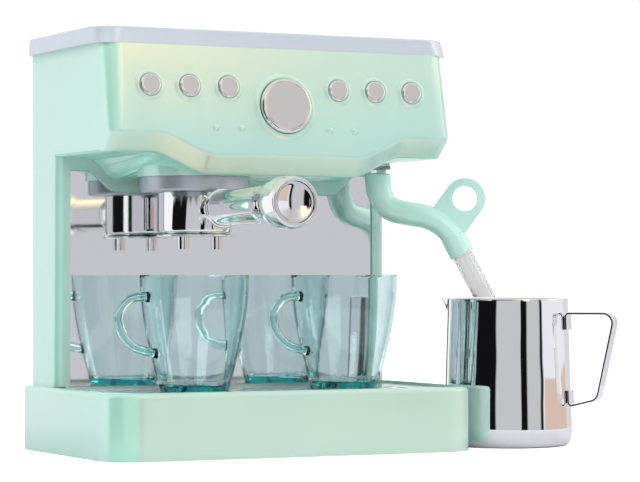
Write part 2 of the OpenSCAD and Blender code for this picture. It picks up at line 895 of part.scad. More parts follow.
module group_collar() {
    low = chin_low - collar_h;
    outer = collar_d / 2;
    socket = spigot_d / 2 + fit_turn;
    color(SILVER)
        at_group()
            difference() {
                rotate_extrude()
                    polygon([
                        [socket, low], [outer - 1.4, low], [outer - 0.4, low + 0.4], [outer, low + 1.4],
                        [outer, chin_low], [neck_d / 2, chin_low], [neck_d / 2, chin_low + wall],
                        [0, chin_low + wall], [0, low + spigot_h + 0.6], [socket, low + spigot_h + 0.6]
                    ]);
                for (turn = collar_screw_turn)
                    rotate([0, 0, turn])
                        translate([collar_screw_r, 0, low + 1.6])
                            thread_hole(collar_h);
            }
}

module collar_screws() {
    color("gray")
        at_group()
            for (turn = collar_screw_turn)
                rotate([0, 0, turn])
                    translate([collar_screw_r, 0, chin_low + wall])
                        rotate([180, 0, 0])
                            screw_up(wall + 5);
}

// The handle's axis, from the basket's middle forwards; its own +Z runs along the handle
module on_handle(distance) {
    at_group()
        translate([0, 0, basket_low + handle_z])
            rotate([90 - handle_rise, 0, 0])
                translate([0, 0, distance])
                    children();
}

module portafilter_basket() {
    corner = 3;
    bore = spigot_d / 2 - basket_wall;
    color(CHROME)
        difference() {
            union() {
                at_group()
                    rotate_extrude() {
                        translate([0, basket_low + corner])
                            square([basket_d / 2, basket_h - corner]);
                        translate([0, basket_low])
                            square([basket_d / 2 - corner, corner + 1]);
                        translate([basket_d / 2 - corner, basket_low + corner])
                            circle(corner);
                        translate([0, basket_top - 1])
                            square([spigot_d / 2, fit_seat + spigot_h + 1]);
                    }
                on_handle(basket_d / 2 - 5)
                    cylinder(d = stud_d, h = stud_l - basket_d / 2 + 5);
            }
            at_group() {
                translate([0, 0, basket_low + basket_wall])
                    cylinder(r = bore, h = basket_h + spigot_h);
                for (side = [-1, 1])
                    translate([side * spout_x, -spout_y, basket_low - 1])
                        cylinder(d = spout_d - 2.4, h = basket_wall + 2);
            }
            on_handle(stud_l - handle_peg_l - fit_seat)
                cylinder(d = handle_peg_d + 2 * fit_turn, h = handle_peg_l + 2);
        }
}

module spout_plate() {
    low = basket_low - spout_plate_t;
    color(CHROME)
        at_group()
            difference() {
                union() {
                    rotate_extrude() {
                        translate([0, low])
                            square([basket_d / 2 + 0.4, spout_plate_t]);
                        translate([basket_d / 2 + 0.4, low + spout_plate_t / 2])
                            circle(d = spout_plate_t);
                    }
                    for (side = [-1, 1])
                        translate([side * spout_x, -spout_y, low - spout_l])
                            cylinder(d1 = spout_d - 0.4, d2 = spout_d, h = spout_l + 0.5);
                }
                for (side = [-1, 1])
                    translate([side * spout_x, -spout_y, low - spout_l - 1])
                        cylinder(d = spout_d - 2.4, h = spout_l + spout_plate_t + 2);
            }
}

// A turned handle: collars at the neck, a tube, a sleeve and a bell; x is the radius, y the way along
module portafilter_handle() {
    bell = handle_bell_d / 2;
    tube = handle_d / 2;
    rim = handle_end_d / 2;
    length = handle_l - stud_l;
    flange = 13;
    sleeve = length * 0.61;
    widest = length - 10;
    color(CHROME)
        difference() {
            on_handle(stud_l)
                rotate_extrude()
                    polygon(concat(
                        [[0, 0], [stud_d / 2 - 0.8, 0], [stud_d / 2, 1], [stud_d / 2 - 0.8, 2], [4.2, 2.4],
                        [4.2, flange - 4], [tube - 1.4, flange - 3], [tube - 0.6, flange - 2.2],
                        [tube - 0.6, flange - 1.2], [tube + 0.8, flange - 0.8], [tube + 1.1, flange],
                        [tube + 0.8, flange + 0.9], [tube, flange + 1.3], [tube, sleeve],
                        [tube + 0.35, sleeve + 0.4]],
                        [for (t = [0.1:0.1:1]) let (ease = t * t * (3 - 2 * t))
                            [tube + 0.35 + (bell - tube - 0.35) * ease,
                                sleeve + 4 + (widest - sleeve - 4) * t]],
                        [for (turn = [15:15:75])
                            [rim + (bell - rim) * cos(turn), widest + 9 * sin(turn)]],
                        [[rim, length - 0.6], [rim - 0.7, length], [cap_r + 0.6, length],
                        [cap_r + fit_seat, length - 1], [cap_r + fit_seat, length - cap_seat],
                        [0, length - cap_seat]]
                    ));
        }
    color(CHROME)
        on_handle(stud_l - handle_peg_l)
            cylinder(d = handle_peg_d, h = handle_peg_l + 1);
}

// A dished disc in the handle's end
module handle_end_cap() {
    color(CHROME)
        on_handle(handle_l - cap_seat)
            difference() {
                cylinder(r = cap_r, h = 2.6);
                translate([0, 0, 31])
                    sphere(r = 30, $fn = 96);
            }
}

// A push button at a place in the row: stem, stop flange and a cap with a rounded shoulder
module button(i) {
    r = button_d / 2;
    out = 1.9;
    flange_top = -wall - fit_seat;
    color(CHROME)
        on_panel(button_x[i], button_z)
            rotate_extrude()
                polygon(concat(
                    [[0, pad_top], [2.6, pad_top], [2.6, flange_top - flange_t],
                    [r + 1.2, flange_top - flange_t], [r + 1.2, flange_top], [r, flange_top]],
                    [for (turn = [0:22.5:90]) [r - 1.3 + 1.3 * cos(turn), out - 1 + sin(turn)]],
                    [[0, out]]
                ));
}

module button_1() { button(0); }
module button_2() { button(1); }
module button_3() { button(2); }
module button_4() { button(3); }
module button_5() { button(4); }
module button_6() { button(5); }

// The springy pad behind the buttons: two strips, each with three hollow domes
module button_pad() {
    color("lightgray")
        for (side = [-1, 1])
            difference() {
                union() {
                    on_panel(side * (button_first + button_pitch), button_z)
                        translate([-button_pitch - 7, -5.5, carrier_z])
                            cube([2 * button_pitch + 14, 11, sheet_t]);
                    for (i = [0:2])
                        on_panel(side * (button_first + i * button_pitch), button_z)
                            translate([0, 0, carrier_z + sheet_t])
                                cylinder(d1 = 9, d2 = 5.6, h = dome_h);
                }
                for (i = [0:2])
                    on_panel(side * (button_first + i * button_pitch), button_z)
                        translate([0, 0, carrier_z - 0.01])
                            cylinder(d1 = 7.6, d2 = 3.6, h = dome_h + sheet_t - 0.8);
                for (i = [0, 1])
                    on_panel(side * (button_first + (i + 0.5) * button_pitch), button_z)
                        translate([0, 0, carrier_z - 1])
                            cylinder(d = post_d + 1, h = sheet_t + 2);
            }
}

// The bar that carries the pad, screwed to the posts and notched for the dial
module button_carrier() {
    color("white")
        difference() {
            on_panel(0, button_z)
                translate([-carrier_w / 2, -7, carrier_z - carrier_t])
                    cube([carrier_w, 14, carrier_t]);
            for (x = post_x)
                on_panel(x, button_z)
                    translate([0, 0, carrier_z - carrier_t - 1])
                        cylinder(d = clear_hole_d, h = carrier_t + 2);
            on_panel(0, dial_z)
                translate([0, 0, carrier_z - carrier_t - 1])
                    cylinder(r = 9, h = carrier_t + 2);
        }
}

module carrier_screws() {
    color("gray")
        for (x = post_x)
            on_panel(x, button_z)
                translate([0, 0, carrier_z - carrier_t])
                    screw_up(carrier_t + 5);
}

module dial_knob() {
    r = dial_d / 2;
    color(CHROME)
        on_panel(0, dial_z)
            difference() {
                rotate_extrude()
                    polygon(concat(
                        [[0, dial_end], [dial_shaft_d / 2, dial_end], [dial_shaft_d / 2, 0.4], [r, 0.4]],
                        [for (turn = [0:15:90]) [r - 1.6 + 1.6 * cos(turn), dial_out - 1.6 + 1.6 * sin(turn)]],
                        [[0, dial_out]]
                    ));
                translate([0, 0, dial_end - 1])
                    thread_hole(8);
            }
}

module dial_washer() {
    color("gray")
        on_panel(0, dial_z)
            translate([0, 0, dial_end - washer_t])
                difference() {
                    cylinder(d = dial_shaft_d + 5, h = washer_t);
                    translate([0, 0, -1])
                        cylinder(d = clear_hole_d, h = washer_t + 2);
                }
}

module dial_screw() {
    color("gray")
        on_panel(0, dial_z)
            translate([0, 0, dial_end - washer_t])
                screw_up(7);
}

// The clear pin that hangs under the head and carries the wand
module wand_pivot() {
    color(CLEAR)
        translate([wand_x, wand_y, 0])
            difference() {
                rotate_extrude()
                    polygon([
                        [0, arm_top - pin_l], [pivot_d / 2, arm_top - pin_l],
                        [pivot_d / 2 + pin_bead / 2, arm_top - pin_l + 1],
                        [pivot_d / 2 + pin_bead / 2, arm_top - pin_l + 2], [pivot_d / 2, arm_top - pin_l + 2],
                        [pivot_d / 2, pad_low - pin_flange_t],
                        [pin_flange_d / 2 - pin_flange_edge, pad_low - pin_flange_t],
                        [pin_flange_d / 2, pad_low - pin_flange_t + pin_flange_edge],
                        [pin_flange_d / 2 - 1, pad_low],
                        [pivot_bore / 2 - fit_turn, pad_low], [pivot_bore / 2 - fit_turn, pin_top],
                        [0, pin_top]
                    ]);
                translate([0, 0, pin_top - 8])
                    thread_hole(9);
            }
}

module pivot_screw() {
    color("gray")
        translate([wand_x, wand_y, pin_top]) {
            difference() {
                cylinder(d = pivot_washer_d, h = washer_t);
                translate([0, 0, -1])
                    cylinder(d = screw_d, h = washer_t + 2);
            }
            translate([0, 0, washer_t])
                rotate([180, 0, 0])
                    screw_up(washer_t + 6);
        }
}

// Points of the arm's middle line: distance from the pivot, height below the arm's top, thickness
arm_points = [
    [0, 0, arm_d / 2 - 1.2], [0, -0.4, arm_d / 2 - 0.4], [0, -1.4, arm_d / 2],
    [0.2, -5, arm_d / 2], [0.9, -10.5, arm_d / 2 - 0.2],
    [4.2, -17.6, arm_thin_d / 2 + 0.2], [9.1, -21, arm_thin_d / 2 + 0.1],
    [14.8, -22.5, arm_thin_d / 2], [20.8, -23.5, arm_thin_d / 2], [25.8, -24.4, arm_thin_d / 2],
    [31, -26, arm_thin_d / 2], [36.6, -29.3, arm_thin_d / 2 - 0.1],
    [40.8, -33.1, arm_thin_d / 2 - 0.2], [44, -37.6, arm_thin_d / 2 - 0.3]
];
arm_line = [for (p = arm_points) [p[0], p[1] + arm_top, p[2]]];
arm_end = arm_line[len(arm_line) - 1];
sleeve_l = 10;
tube_in = 8;
sleeve_wall = 1.4;
loop_at = [50.1, arm_top - 14.4];

// The wand's own frame: X outwards from the pivot
module at_wand() {
    translate([wand_x, wand_y, 0])
        rotate([0, 0, wand_turn])
            children();
}

// The tube's axis from the arm's end, its own +Z pointing down the tube
module on_tube(distance) {
    translate([arm_end[0], 0, arm_end[1]])
        rotate([0, 180 - tube_lean, 0])
            translate([0, 0, distance])
                children();
}

module wand_arm() {
    color(MINT)
        at_wand()
            difference() {
                union() {
                    bar(spline(arm_line, 3), 20);
                    on_tube(-1.5)
                        cylinder(d = tube_d + 2 * sleeve_wall, h = sleeve_l + 1.5);
                    translate([0, loop_t / 2, 0])
                        rotate([90, 0, 0])
                            linear_extrude(loop_t)
                                hull() {
                                    translate(loop_at)
                                        circle(d = loop_d + 2 * loop_w);
                                    translate([32, arm_top - 22.7])
                                        circle(d = 4);
                                    translate([47.3, arm_top - 35])
                                        circle(d = 4);
                                }
                }
                translate([loop_at[0], 0, loop_at[1]])
                    rotate([90, 0, 0])
                        cylinder(d = loop_d, h = 2 * arm_d, center = true);
                translate([0, 0, arm_top - pin_l - 0.5])
                    cylinder(d = pivot_d + pin_bead + 2 * fit_turn, h = 3);
                translate([0, 0, arm_top - pin_l - 0.5])
                    cylinder(d = pivot_d + 2 * fit_turn, h = pin_l + 2);
                on_tube(sleeve_l - tube_in)
                    cylinder(d = tube_d + 2 * fit_turn, h = tube_in + 1);
            }
}

module wand_tube() {
    color(CLEAR)
        at_wand()
            difference() {
                on_tube(sleeve_l - tube_in + fit_turn)
                    difference() {
                        cylinder(d = tube_d, h = 60);
                        translate([0, 0, 2])
                            cylinder(d = tube_d - 2.4, h = 60);
                    }
                translate([0, -20, tube_tip_z - 60])
                    cube([120, 40, 60]);
            }
}

// A mug's outer radius at a share of its height
function mug_r(t) = mug_foot_d / 2 + (mug_d - mug_foot_d) / 2 * sin(90 * t);

module mug() {
    steps = 10;
    inner_low = mug_bottom / mug_h;
    color(TEAL)
        difference() {
            union() {
                rotate_extrude($fn = 64)
                    polygon(concat([[0, 0]],
                        [for (k = [0:steps]) [mug_r(k / steps), k / steps * mug_h]],
                        [[0, mug_h]]));
                mug_handle();
            }
            rotate_extrude($fn = 64)
                polygon(concat([[0, mug_bottom]],
                    [for (k = [0:steps]) let (t = inner_low + (1 - inner_low) * k / steps)
                        [mug_r(t) - mug_wall, t * mug_h]],
                    [[mug_r(1) - mug_wall, mug_h + 1], [0, mug_h + 1]]));
            translate([0, 0, -1])
                cylinder(d = mug_foot_d - 7, h = 1.6);
        }
}

// The C-shaped handle, a round bar from below the rim to the lower wall
module mug_handle() {
    r = mug_handle_d / 2;
    reach = mug_handle_reach - r;
    high = mug_h * 0.81;
    low = mug_h * 0.34;
    wall_high = mug_r(high / mug_h) - mug_wall / 2;
    wall_low = mug_r(low / mug_h) - mug_wall / 2;
    mid = (high + low) / 2;
    path = [
        [wall_high, high, r + 0.6], [wall_high + 5, high + 0.3, r], [reach - 7, high - 1.4, r],
        [reach - 1.4, high - 7.4, r], [reach, mid + 2.6, r], [reach - 3.4, mid - 6.4, r],
        [reach - 10.4, low + 2.6, r], [wall_low + 3, low - 0.2, r], [wall_low, low - 0.6, r + 0.8]
    ];
    bar(spline(path, 2), 12);
}

module mug_left() {
    translate([mug_left_at[0], mug_left_at[1], tray_top])
        rotate([0, 0, mug_turn])
            mug();
}

module mug_right() {
    translate([mug_right_at[0], mug_right_at[1], tray_top])
        rotate([0, 0, mug_turn])
            mug();
}

// The jug stands beside the base, under the wand's tip
module at_jug() {
    translate([jug_at[0], jug_at[1], 0])
        rotate([0, 0, jug_turn])
            children();
}

// The jug's outer radius at a height
function jug_r(z) = jug_foot_d / 2 + (jug_d - jug_foot_d) / 2 * (z - jug_foot_r) / (jug_h - jug_foot_r);

module jug_body() {
    inner_foot = jug_foot_d / 2 - jug_wall;
    color(CHROME)
        at_jug()
            difference() {
                union() {
                    rotate_extrude($fn = 96)
                        polygon(concat(
                            [[0, 0], [jug_foot_d / 2 - jug_foot_r, 0]],
                            [for (turn = [15:15:90]) [jug_foot_d / 2 - jug_foot_r + jug_foot_r * sin(turn),
                                jug_foot_r - jug_foot_r * cos(turn)]],
                            [[jug_r(jug_h), jug_h], [0, jug_h]]
                        ));
                    pouring_lip(0);
                }
                rotate_extrude($fn = 96)
                    polygon([
                        [0, 2], [inner_foot - 4, 2], [inner_foot - 1.2, 3.2], [inner_foot, 6],
                        [jug_r(jug_h) - jug_wall, jug_h], [jug_r(jug_h) - jug_wall, jug_h + 1], [0, jug_h + 1]
                    ]);
                pouring_lip(jug_wall);
            }
}

// The lip opposite the handle, and with a wall the channel inside it
module pouring_lip(t) {
    rim = jug_r(jug_h);
    hull() {
        translate([-rim - 2.4 + t, 0, jug_h - 0.5])
            cylinder(r = 3 - t / 2, h = t > 0 ? 2 : 0.5, $fn = 24);
        translate([-rim + 8 + t, 0, jug_h - 0.5])
            cylinder(r = 11 - t, h = t > 0 ? 2 : 0.5, $fn = 32);
        translate([-jug_r(jug_h - 15) + 1.5 + t, 0, jug_h - 15])
            cylinder(r = 1, h = 0.5, $fn = 24);
    }
}

// A bent strap whose two tabs lie on the jug's wall
module jug_handle() {
    tab = 10;
    color(CHROME)
        at_jug()
            difference() {
                rotate([90, 0, 0])
                    translate([0, 0, -strap_w / 2])
                        linear_extrude(strap_w)
                            difference() {
                                strap_outline(0);
                                strap_outline(strap_t);
                                translate([0, strap_low + tab])
                                    square([jug_foot_d / 2 + strap_t + 1, strap_top - strap_low - 2 * tab]);
                            }
                rotate_extrude($fn = 96)
                    polygon([[0, 0], [jug_r(0) + tab_gap, 0], [jug_r(jug_h) + tab_gap, jug_h], [0, jug_h]]);
            }
}

// The strap's outline, standing in by t from its outer face; its tabs run into the wall
module strap_outline(t) {
    offset(r = 5 - t)
        offset(delta = -5)
            polygon([
                [jug_r(strap_top) - 1.4, strap_top], [jug_reach - 1, strap_top],
                [jug_reach - 0.2, strap_top - 6], [jug_reach - 10.6, strap_low + 7],
                [jug_reach - 15, strap_low + 3], [jug_r(strap_low) - 1.4, strap_low]
            ]);
}

base_shell();
base_plate();
rubber_feet();
base_screws();
drip_tray();
housing();
column_screws();
back_cover();
back_cover_screws();
splash_panel();
lid();
group_collar();
collar_screws();
portafilter_basket();
spout_plate();
portafilter_handle();
handle_end_cap();
button_1();
button_2();
button_3();
button_4();
button_5();
button_6();
button_pad();
button_carrier();
carrier_screws();
dial_knob();
dial_washer();
dial_screw();
wand_pivot();
pivot_screw();
wand_arm();
wand_tube();
mug_left();
mug_right();
jug_body();
jug_handle();
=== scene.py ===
# %% [markdown]
# # A toy espresso machine
#
# This lesson dresses a play-size espresso machine with two see-through mugs and a milk jug.
# The shapes come from a CAD model that is loaded first. Blender adds what CAD leaves out:
# soft moulded edges, pearly plastic, plated metal, tinted see-through plastic, and the light.

# %% Load the CAD model
import json
import math
import bmesh
import bpy
from mathutils import Matrix, Vector


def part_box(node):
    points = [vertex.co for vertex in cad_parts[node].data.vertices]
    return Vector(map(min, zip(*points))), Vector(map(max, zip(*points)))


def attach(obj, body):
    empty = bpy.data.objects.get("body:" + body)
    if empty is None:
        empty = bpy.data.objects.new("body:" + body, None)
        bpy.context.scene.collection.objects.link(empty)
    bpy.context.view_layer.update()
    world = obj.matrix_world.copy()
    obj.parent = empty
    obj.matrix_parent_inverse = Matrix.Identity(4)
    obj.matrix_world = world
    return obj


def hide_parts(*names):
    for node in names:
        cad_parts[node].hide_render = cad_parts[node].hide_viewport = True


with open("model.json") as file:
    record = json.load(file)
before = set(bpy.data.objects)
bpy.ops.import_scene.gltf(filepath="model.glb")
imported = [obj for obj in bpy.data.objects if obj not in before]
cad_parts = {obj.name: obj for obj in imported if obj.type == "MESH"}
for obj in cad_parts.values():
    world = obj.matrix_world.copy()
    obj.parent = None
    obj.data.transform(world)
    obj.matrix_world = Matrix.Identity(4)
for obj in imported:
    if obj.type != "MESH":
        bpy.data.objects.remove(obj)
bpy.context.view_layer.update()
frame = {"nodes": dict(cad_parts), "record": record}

# %% [markdown]
# ## The camera
#
# A long lens from the front left, nearly level with the drip tray, shows the machine as a
# catalogue does. The lens is given by its focal length in pixels on a 640 pixel wide picture,
# so it is turned into millimetres on a 36 mm sensor here.

# %% Camera
FOCAL_PIXELS = 2665.0
IMAGE_WIDTH = 640
SENSOR_WIDTH = 36.0
CAMERA_PLACE = Vector((-0.6335, -1.3448, 0.0960))
YAW = math.radians(26.678)
PITCH = math.radians(0.794)

camera_data = bpy.data.cameras.new("camera")
camera_data.sensor_width = SENSOR_WIDTH
camera_data.lens = FOCAL_PIXELS * SENSOR_WIDTH / IMAGE_WIDTH
camera_data.clip_start = 0.05
camera_data.clip_end = 50.0
camera = bpy.data.objects.new("camera", camera_data)
bpy.context.scene.collection.objects.link(camera)
look = Vector((math.sin(YAW) * math.cos(PITCH), math.cos(YAW) * math.cos(PITCH), math.sin(PITCH)))
camera.location = CAMERA_PLACE
camera.rotation_mode = "QUATERNION"
camera.rotation_quaternion = look.to_track_quat("-Z", "Y")
bpy.context.scene.camera = camera
print("lens", round(camera_data.lens, 1), "mm")

# %% [markdown]
# ## Helpers for node materials
#
# A procedural material is a small graph. These helpers add a node, set its sockets by name and
# link it, so that each finish below can be read as a short recipe.

# %% Node helpers
def srgb(red, green, blue):
    """A colour picked on screen, 0 to 255, as the linear values that nodes use."""
    def linear(v):
        v = v / 255
        return v / 12.92 if v <= 0.04045 else ((v + 0.055) / 1.055) ** 2.4
    return (linear(red), linear(green), linear(blue), 1.0)


def put(tree, socket, value):
    """Links an output to a socket, or sets the socket's own value."""
    if isinstance(value, bpy.types.NodeSocket):
        tree.links.new(value, socket)
    else:
        socket.default_value = value


def add(tree, kind, **values):
    """Adds a node; in_Name sets the socket called Name, any other key is a property."""
    made = tree.nodes.new(kind)
    for key, value in values.items():
        if not key.startswith("in_"):
            setattr(made, key, value)
    for key, value in values.items():
        if key.startswith("in_"):
            name = key[3:].replace("_", " ")
            put(tree, made.inputs[int(name)] if name.isdigit() else made.inputs[name], value)
    return made


def calculate(tree, operation, first, second=0.0, third=0.0):
    """One step of arithmetic on values or sockets; returns the result's socket."""
    made = add(tree, "ShaderNodeMath", operation=operation, in_0=first, in_1=second)
    if operation == "MULTIPLY_ADD":
        put(tree, made.inputs[2], third)
    return made.outputs[0]


def ease(tree, value, start, stop, low=0.0, high=1.0, kind="SMOOTHSTEP"):
    """Turns a range of values into another one, softly at both ends."""
    made = add(tree, "ShaderNodeMapRange", interpolation_type=kind, in_Value=value)
    made.inputs["From Min"].default_value = start
    made.inputs["From Max"].default_value = stop
    made.inputs["To Min"].default_value = low
    made.inputs["To Max"].default_value = high
    return made.outputs[0]


def blend(tree, factor, first, second, mode="MIX"):
    """Mixes two colours and returns the result's socket."""
    made = tree.nodes.new("ShaderNodeMix")
    made.data_type = "RGBA"
    made.blend_type = mode
    put(tree, made.inputs[0], factor)
    put(tree, made.inputs[6], first)
    put(tree, made.inputs[7], second)
    return made.outputs[2]


def new_finish(name):
    """An empty material with its Principled shader, ready for a recipe."""
    material = bpy.data.materials.new(name)
    material.use_nodes = True
    tree = material.node_tree
    tree.nodes.clear()
    output = tree.nodes.new("ShaderNodeOutputMaterial")
    shader = tree.nodes.new("ShaderNodeBsdfPrincipled")
    tree.links.new(shader.outputs["BSDF"], output.inputs["Surface"])
    return material, tree, shader, output


# %% [markdown]
# ## A shared surface effect
#
# Moulded plastic is never quite even: the mould's polish leaves a very fine grain, the skin sinks
# and swells by hundredths of a millimetre, and handling dulls it in soft patches. One node group
# gives all three, as a shade to multiply the colour by, a roughness and a height. Every finish
# places this group with its own values, so that all of them stay of one family.

# %% Node group: moulded surface
def make_moulded_surface():
    group = bpy.data.node_groups.new("moulded_surface", "ShaderNodeTree")
    for name, value in (("Grain size", 1800.0), ("Patch size", 22.0), ("Roughness", 0.3),
                        ("Roughness spread", 0.06), ("Waviness", 0.5), ("Darkest", 0.95)):
        socket = group.interface.new_socket(name, in_out="INPUT", socket_type="NodeSocketFloat")
        socket.default_value = value
    group.interface.new_socket("Shade", in_out="OUTPUT", socket_type="NodeSocketColor")
    group.interface.new_socket("Roughness", in_out="OUTPUT", socket_type="NodeSocketFloat")
    group.interface.new_socket("Height", in_out="OUTPUT", socket_type="NodeSocketFloat")
    start = group.nodes.new("NodeGroupInput")
    end = group.nodes.new("NodeGroupOutput")
    place = group.nodes.new("ShaderNodeTexCoord")
    grain = add(group, "ShaderNodeTexNoise", in_Vector=place.outputs["Object"],
                in_Scale=start.outputs["Grain size"], in_Detail=2.0)
    patch = add(group, "ShaderNodeTexNoise", in_Vector=place.outputs["Object"],
                in_Scale=start.outputs["Patch size"], in_Detail=2.0)
    centred = calculate(group, "SUBTRACT", patch.outputs["Fac"], 0.5)
    rough = calculate(group, "MULTIPLY_ADD", centred, start.outputs["Roughness spread"],
                      start.outputs["Roughness"])
    wave = calculate(group, "MULTIPLY", patch.outputs["Fac"], start.outputs["Waviness"])
    height = calculate(group, "MULTIPLY_ADD", grain.outputs["Fac"], 0.05, wave)
    lift = calculate(group, "SUBTRACT", 1.0, start.outputs["Darkest"])
    tone = calculate(group, "MULTIPLY_ADD", patch.outputs["Fac"], lift, start.outputs["Darkest"])
    shade = add(group, "ShaderNodeCombineColor", in_Red=tone, in_Green=tone, in_Blue=tone)
    group.links.new(shade.outputs[0], end.inputs["Shade"])
    group.links.new(rough, end.inputs["Roughness"])
    group.links.new(height, end.inputs["Height"])
    return group


MOULDED = make_moulded_surface()
print("node group with", len(MOULDED.nodes), "nodes")


# %% Use the group in a finish
def surface_of(tree, shader, colour, roughness, spread, patch, waviness, depth, darkest=0.95,
               grain=1800.0):
    """Places the group, and lets it drive the shader's colour, roughness and normal."""
    made = tree.nodes.new("ShaderNodeGroup")
    made.node_tree = MOULDED
    for name, value in (("Grain size", grain), ("Patch size", patch), ("Roughness", roughness),
                        ("Roughness spread", spread), ("Waviness", waviness), ("Darkest", darkest)):
        made.inputs[name].default_value = value
    put(tree, shader.inputs["Base Color"], blend(tree, 1.0, colour, made.outputs["Shade"], "MULTIPLY"))
    put(tree, shader.inputs["Roughness"], made.outputs["Roughness"])
    bump = add(tree, "ShaderNodeBump", in_Height=made.outputs["Height"], in_Strength=0.3,
               in_Distance=depth)
    put(tree, shader.inputs["Normal"], bump.outputs["Normal"])


# %% [markdown]
# ## Pearly mint plastic, with painted shade and reflections
#
# The housing is pale mint with a fine pearl in it. Pearl is tiny reflecting flakes, so the plastic
# is given a small share of metal. Light and shade are also painted into its colour by the way a face
# looks. Four colours are mixed: one for the sides, a painted darker shade for faces that look
# forwards, a painted shade for the underside that also paints a dark reflection on the front left
# corners, and a painted warm reflection for the head's front, most at its left, for the slope below
# it and, faintly, for the base's front. The masks come from the piece's own normal and its own
# place, so the pattern stays with the piece when it moves. The wand's arm is a paler mix, painted
# lighter as if more light fell on it, and the base plate a dull one.

# %% Mint plastic
# The colours after the name: the mint itself, a painted darker shade for forward faces, a painted dark tint
# for shade and corner reflections, and a painted warm reflection with its share.
def make_mint(name, side, front, painted_dark_tint, painted_warm_reflection, painted_reflection_share, roughness, pearl):
    material, tree, shader, output = new_finish(name)
    place = tree.nodes.new("ShaderNodeTexCoord")
    facing = add(tree, "ShaderNodeSeparateXYZ", in_Vector=place.outputs["Normal"])
    spot = add(tree, "ShaderNodeSeparateXYZ", in_Vector=place.outputs["Object"])
    # Painted shade: faces that look forwards get the front colour, a darker copy of the mint.
    forwards = ease(tree, facing.outputs["Y"], -0.35, -0.98)
    leftwards = ease(tree, spot.outputs["X"], 0.10, -0.10, 0.22, 0.92)
    # Painted warm reflection: on the head's front, most at its left, and faintly on the base's front.
    on_head = ease(tree, spot.outputs["Z"], 0.168, 0.216, 0.0, 1.0, "LINEAR")
    on_base = ease(tree, spot.outputs["Z"], 0.060, 0.030, 0.0, 0.3)
    painted_reflection_mask = calculate(tree, "MULTIPLY", leftwards, on_head)
    painted_reflection_mask = calculate(tree, "MULTIPLY", forwards, calculate(tree, "MAXIMUM", painted_reflection_mask, on_base))
    cloud = add(tree, "ShaderNodeTexNoise", in_Vector=place.outputs["Object"], in_Scale=11.0,
                in_Detail=1.0)
    painted_reflection_mask = calculate(tree, "MULTIPLY", painted_reflection_mask, ease(tree, cloud.outputs["Fac"], 0.3, 0.7, 0.7, 1.0))
    # Painted warm reflection on the slope below the head, where faces turn down and forwards.
    turned_under = ease(tree, facing.outputs["Z"], -0.15, -0.45)
    below_front = calculate(tree, "MULTIPLY", turned_under,
                            ease(tree, facing.outputs["Y"], -0.35, -0.7))
    sloping = ease(tree, facing.outputs["X"], 0.25, -0.25, 0.08, 0.8)
    inner = calculate(tree, "MULTIPLY", ease(tree, spot.outputs["X"], -0.088, -0.074, 0.5, 1.0),
                      ease(tree, spot.outputs["X"], 0.088, 0.074, 0.4, 1.0))
    sloping = calculate(tree, "MULTIPLY", sloping, inner)
    sloping = calculate(tree, "MULTIPLY", sloping, ease(tree, spot.outputs["X"], 0.108, 0.104))
    painted_reflection_mask = calculate(tree, "MAXIMUM", painted_reflection_mask, calculate(tree, "MULTIPLY", below_front, sloping))
    colour = blend(tree, forwards, side, front)
    # Painted dark reflection on the front left corners, in the painted dark tint.
    corner = calculate(tree, "MULTIPLY", ease(tree, facing.outputs["Y"], -0.3, -0.62),
                       ease(tree, facing.outputs["Y"], -0.985, -0.91))
    corner = calculate(tree, "MULTIPLY", corner, ease(tree, facing.outputs["X"], 0.1, -0.25, 0.0, 0.6))
    corner = calculate(tree, "MULTIPLY", corner, ease(tree, spot.outputs["X"], -0.086, -0.092))
    corner = calculate(tree, "MULTIPLY", corner, ease(tree, facing.outputs["Z"], -0.25, 0.0))
    # Painted shade on faces turned down, in the painted dark tint.
    colour = blend(tree, ease(tree, facing.outputs["Z"], -0.6, -0.9), colour, painted_dark_tint)
    colour = blend(tree, calculate(tree, "MULTIPLY", painted_reflection_mask, painted_reflection_share), colour, painted_warm_reflection)
    colour = blend(tree, corner, colour, painted_dark_tint)
    surface_of(tree, shader, colour, roughness, 0.06, 14.0, 0.5, 0.00006, 0.97)
    shader.inputs["Metallic"].default_value = pearl
    shader.inputs["IOR"].default_value = 1.5
    shader.inputs["Coat Weight"].default_value = 0.4
    shader.inputs["Coat Roughness"].default_value = 0.1
    return material


# Colours in order: sides, painted darker shade for forward faces, painted dark tint for undersides and
# corners, painted warm reflection, and its share.
mint = make_mint("mint_plastic", srgb(202, 240, 230), srgb(186, 224, 214), srgb(172, 240, 216),
                 srgb(234, 234, 204), 0.95, 0.24, 0.25)
# Paler copy of the mint: the wand's arm is painted lighter, as if more light fell on it.
mint_wand_painted_lighter = make_mint("mint_wand_painted_lighter", srgb(210, 248, 238), srgb(200, 240, 229), srgb(172, 240, 216),
                      srgb(234, 240, 214), 0.5, 0.24, 0.15)
mint_dull = make_mint("mint_underside", srgb(175, 214, 203), srgb(175, 212, 200), srgb(172, 214, 200),
                      srgb(206, 216, 198), 0.2, 0.5, 0.0)

# %% [markdown]
# ## Silver lacquer and plating
#
# The lid, the collar and the tray are plastic sprayed silver: partly metallic, but satin, with a
# cool cast. The plated pieces are mirror-bright. Thin plating follows the moulded skin, so its
# reflections waver a very little, which a slow, shallow bump gives.

# %% Silver and plating
def make_metal(name, colour, roughness, spread, patch, waviness, depth, metallic=1.0, darkest=0.96,
               grain=1800.0):
    material, tree, shader, output = new_finish(name)
    surface_of(tree, shader, colour, roughness, spread, patch, waviness, depth, darkest, grain)
    shader.inputs["Metallic"].default_value = metallic
    return material


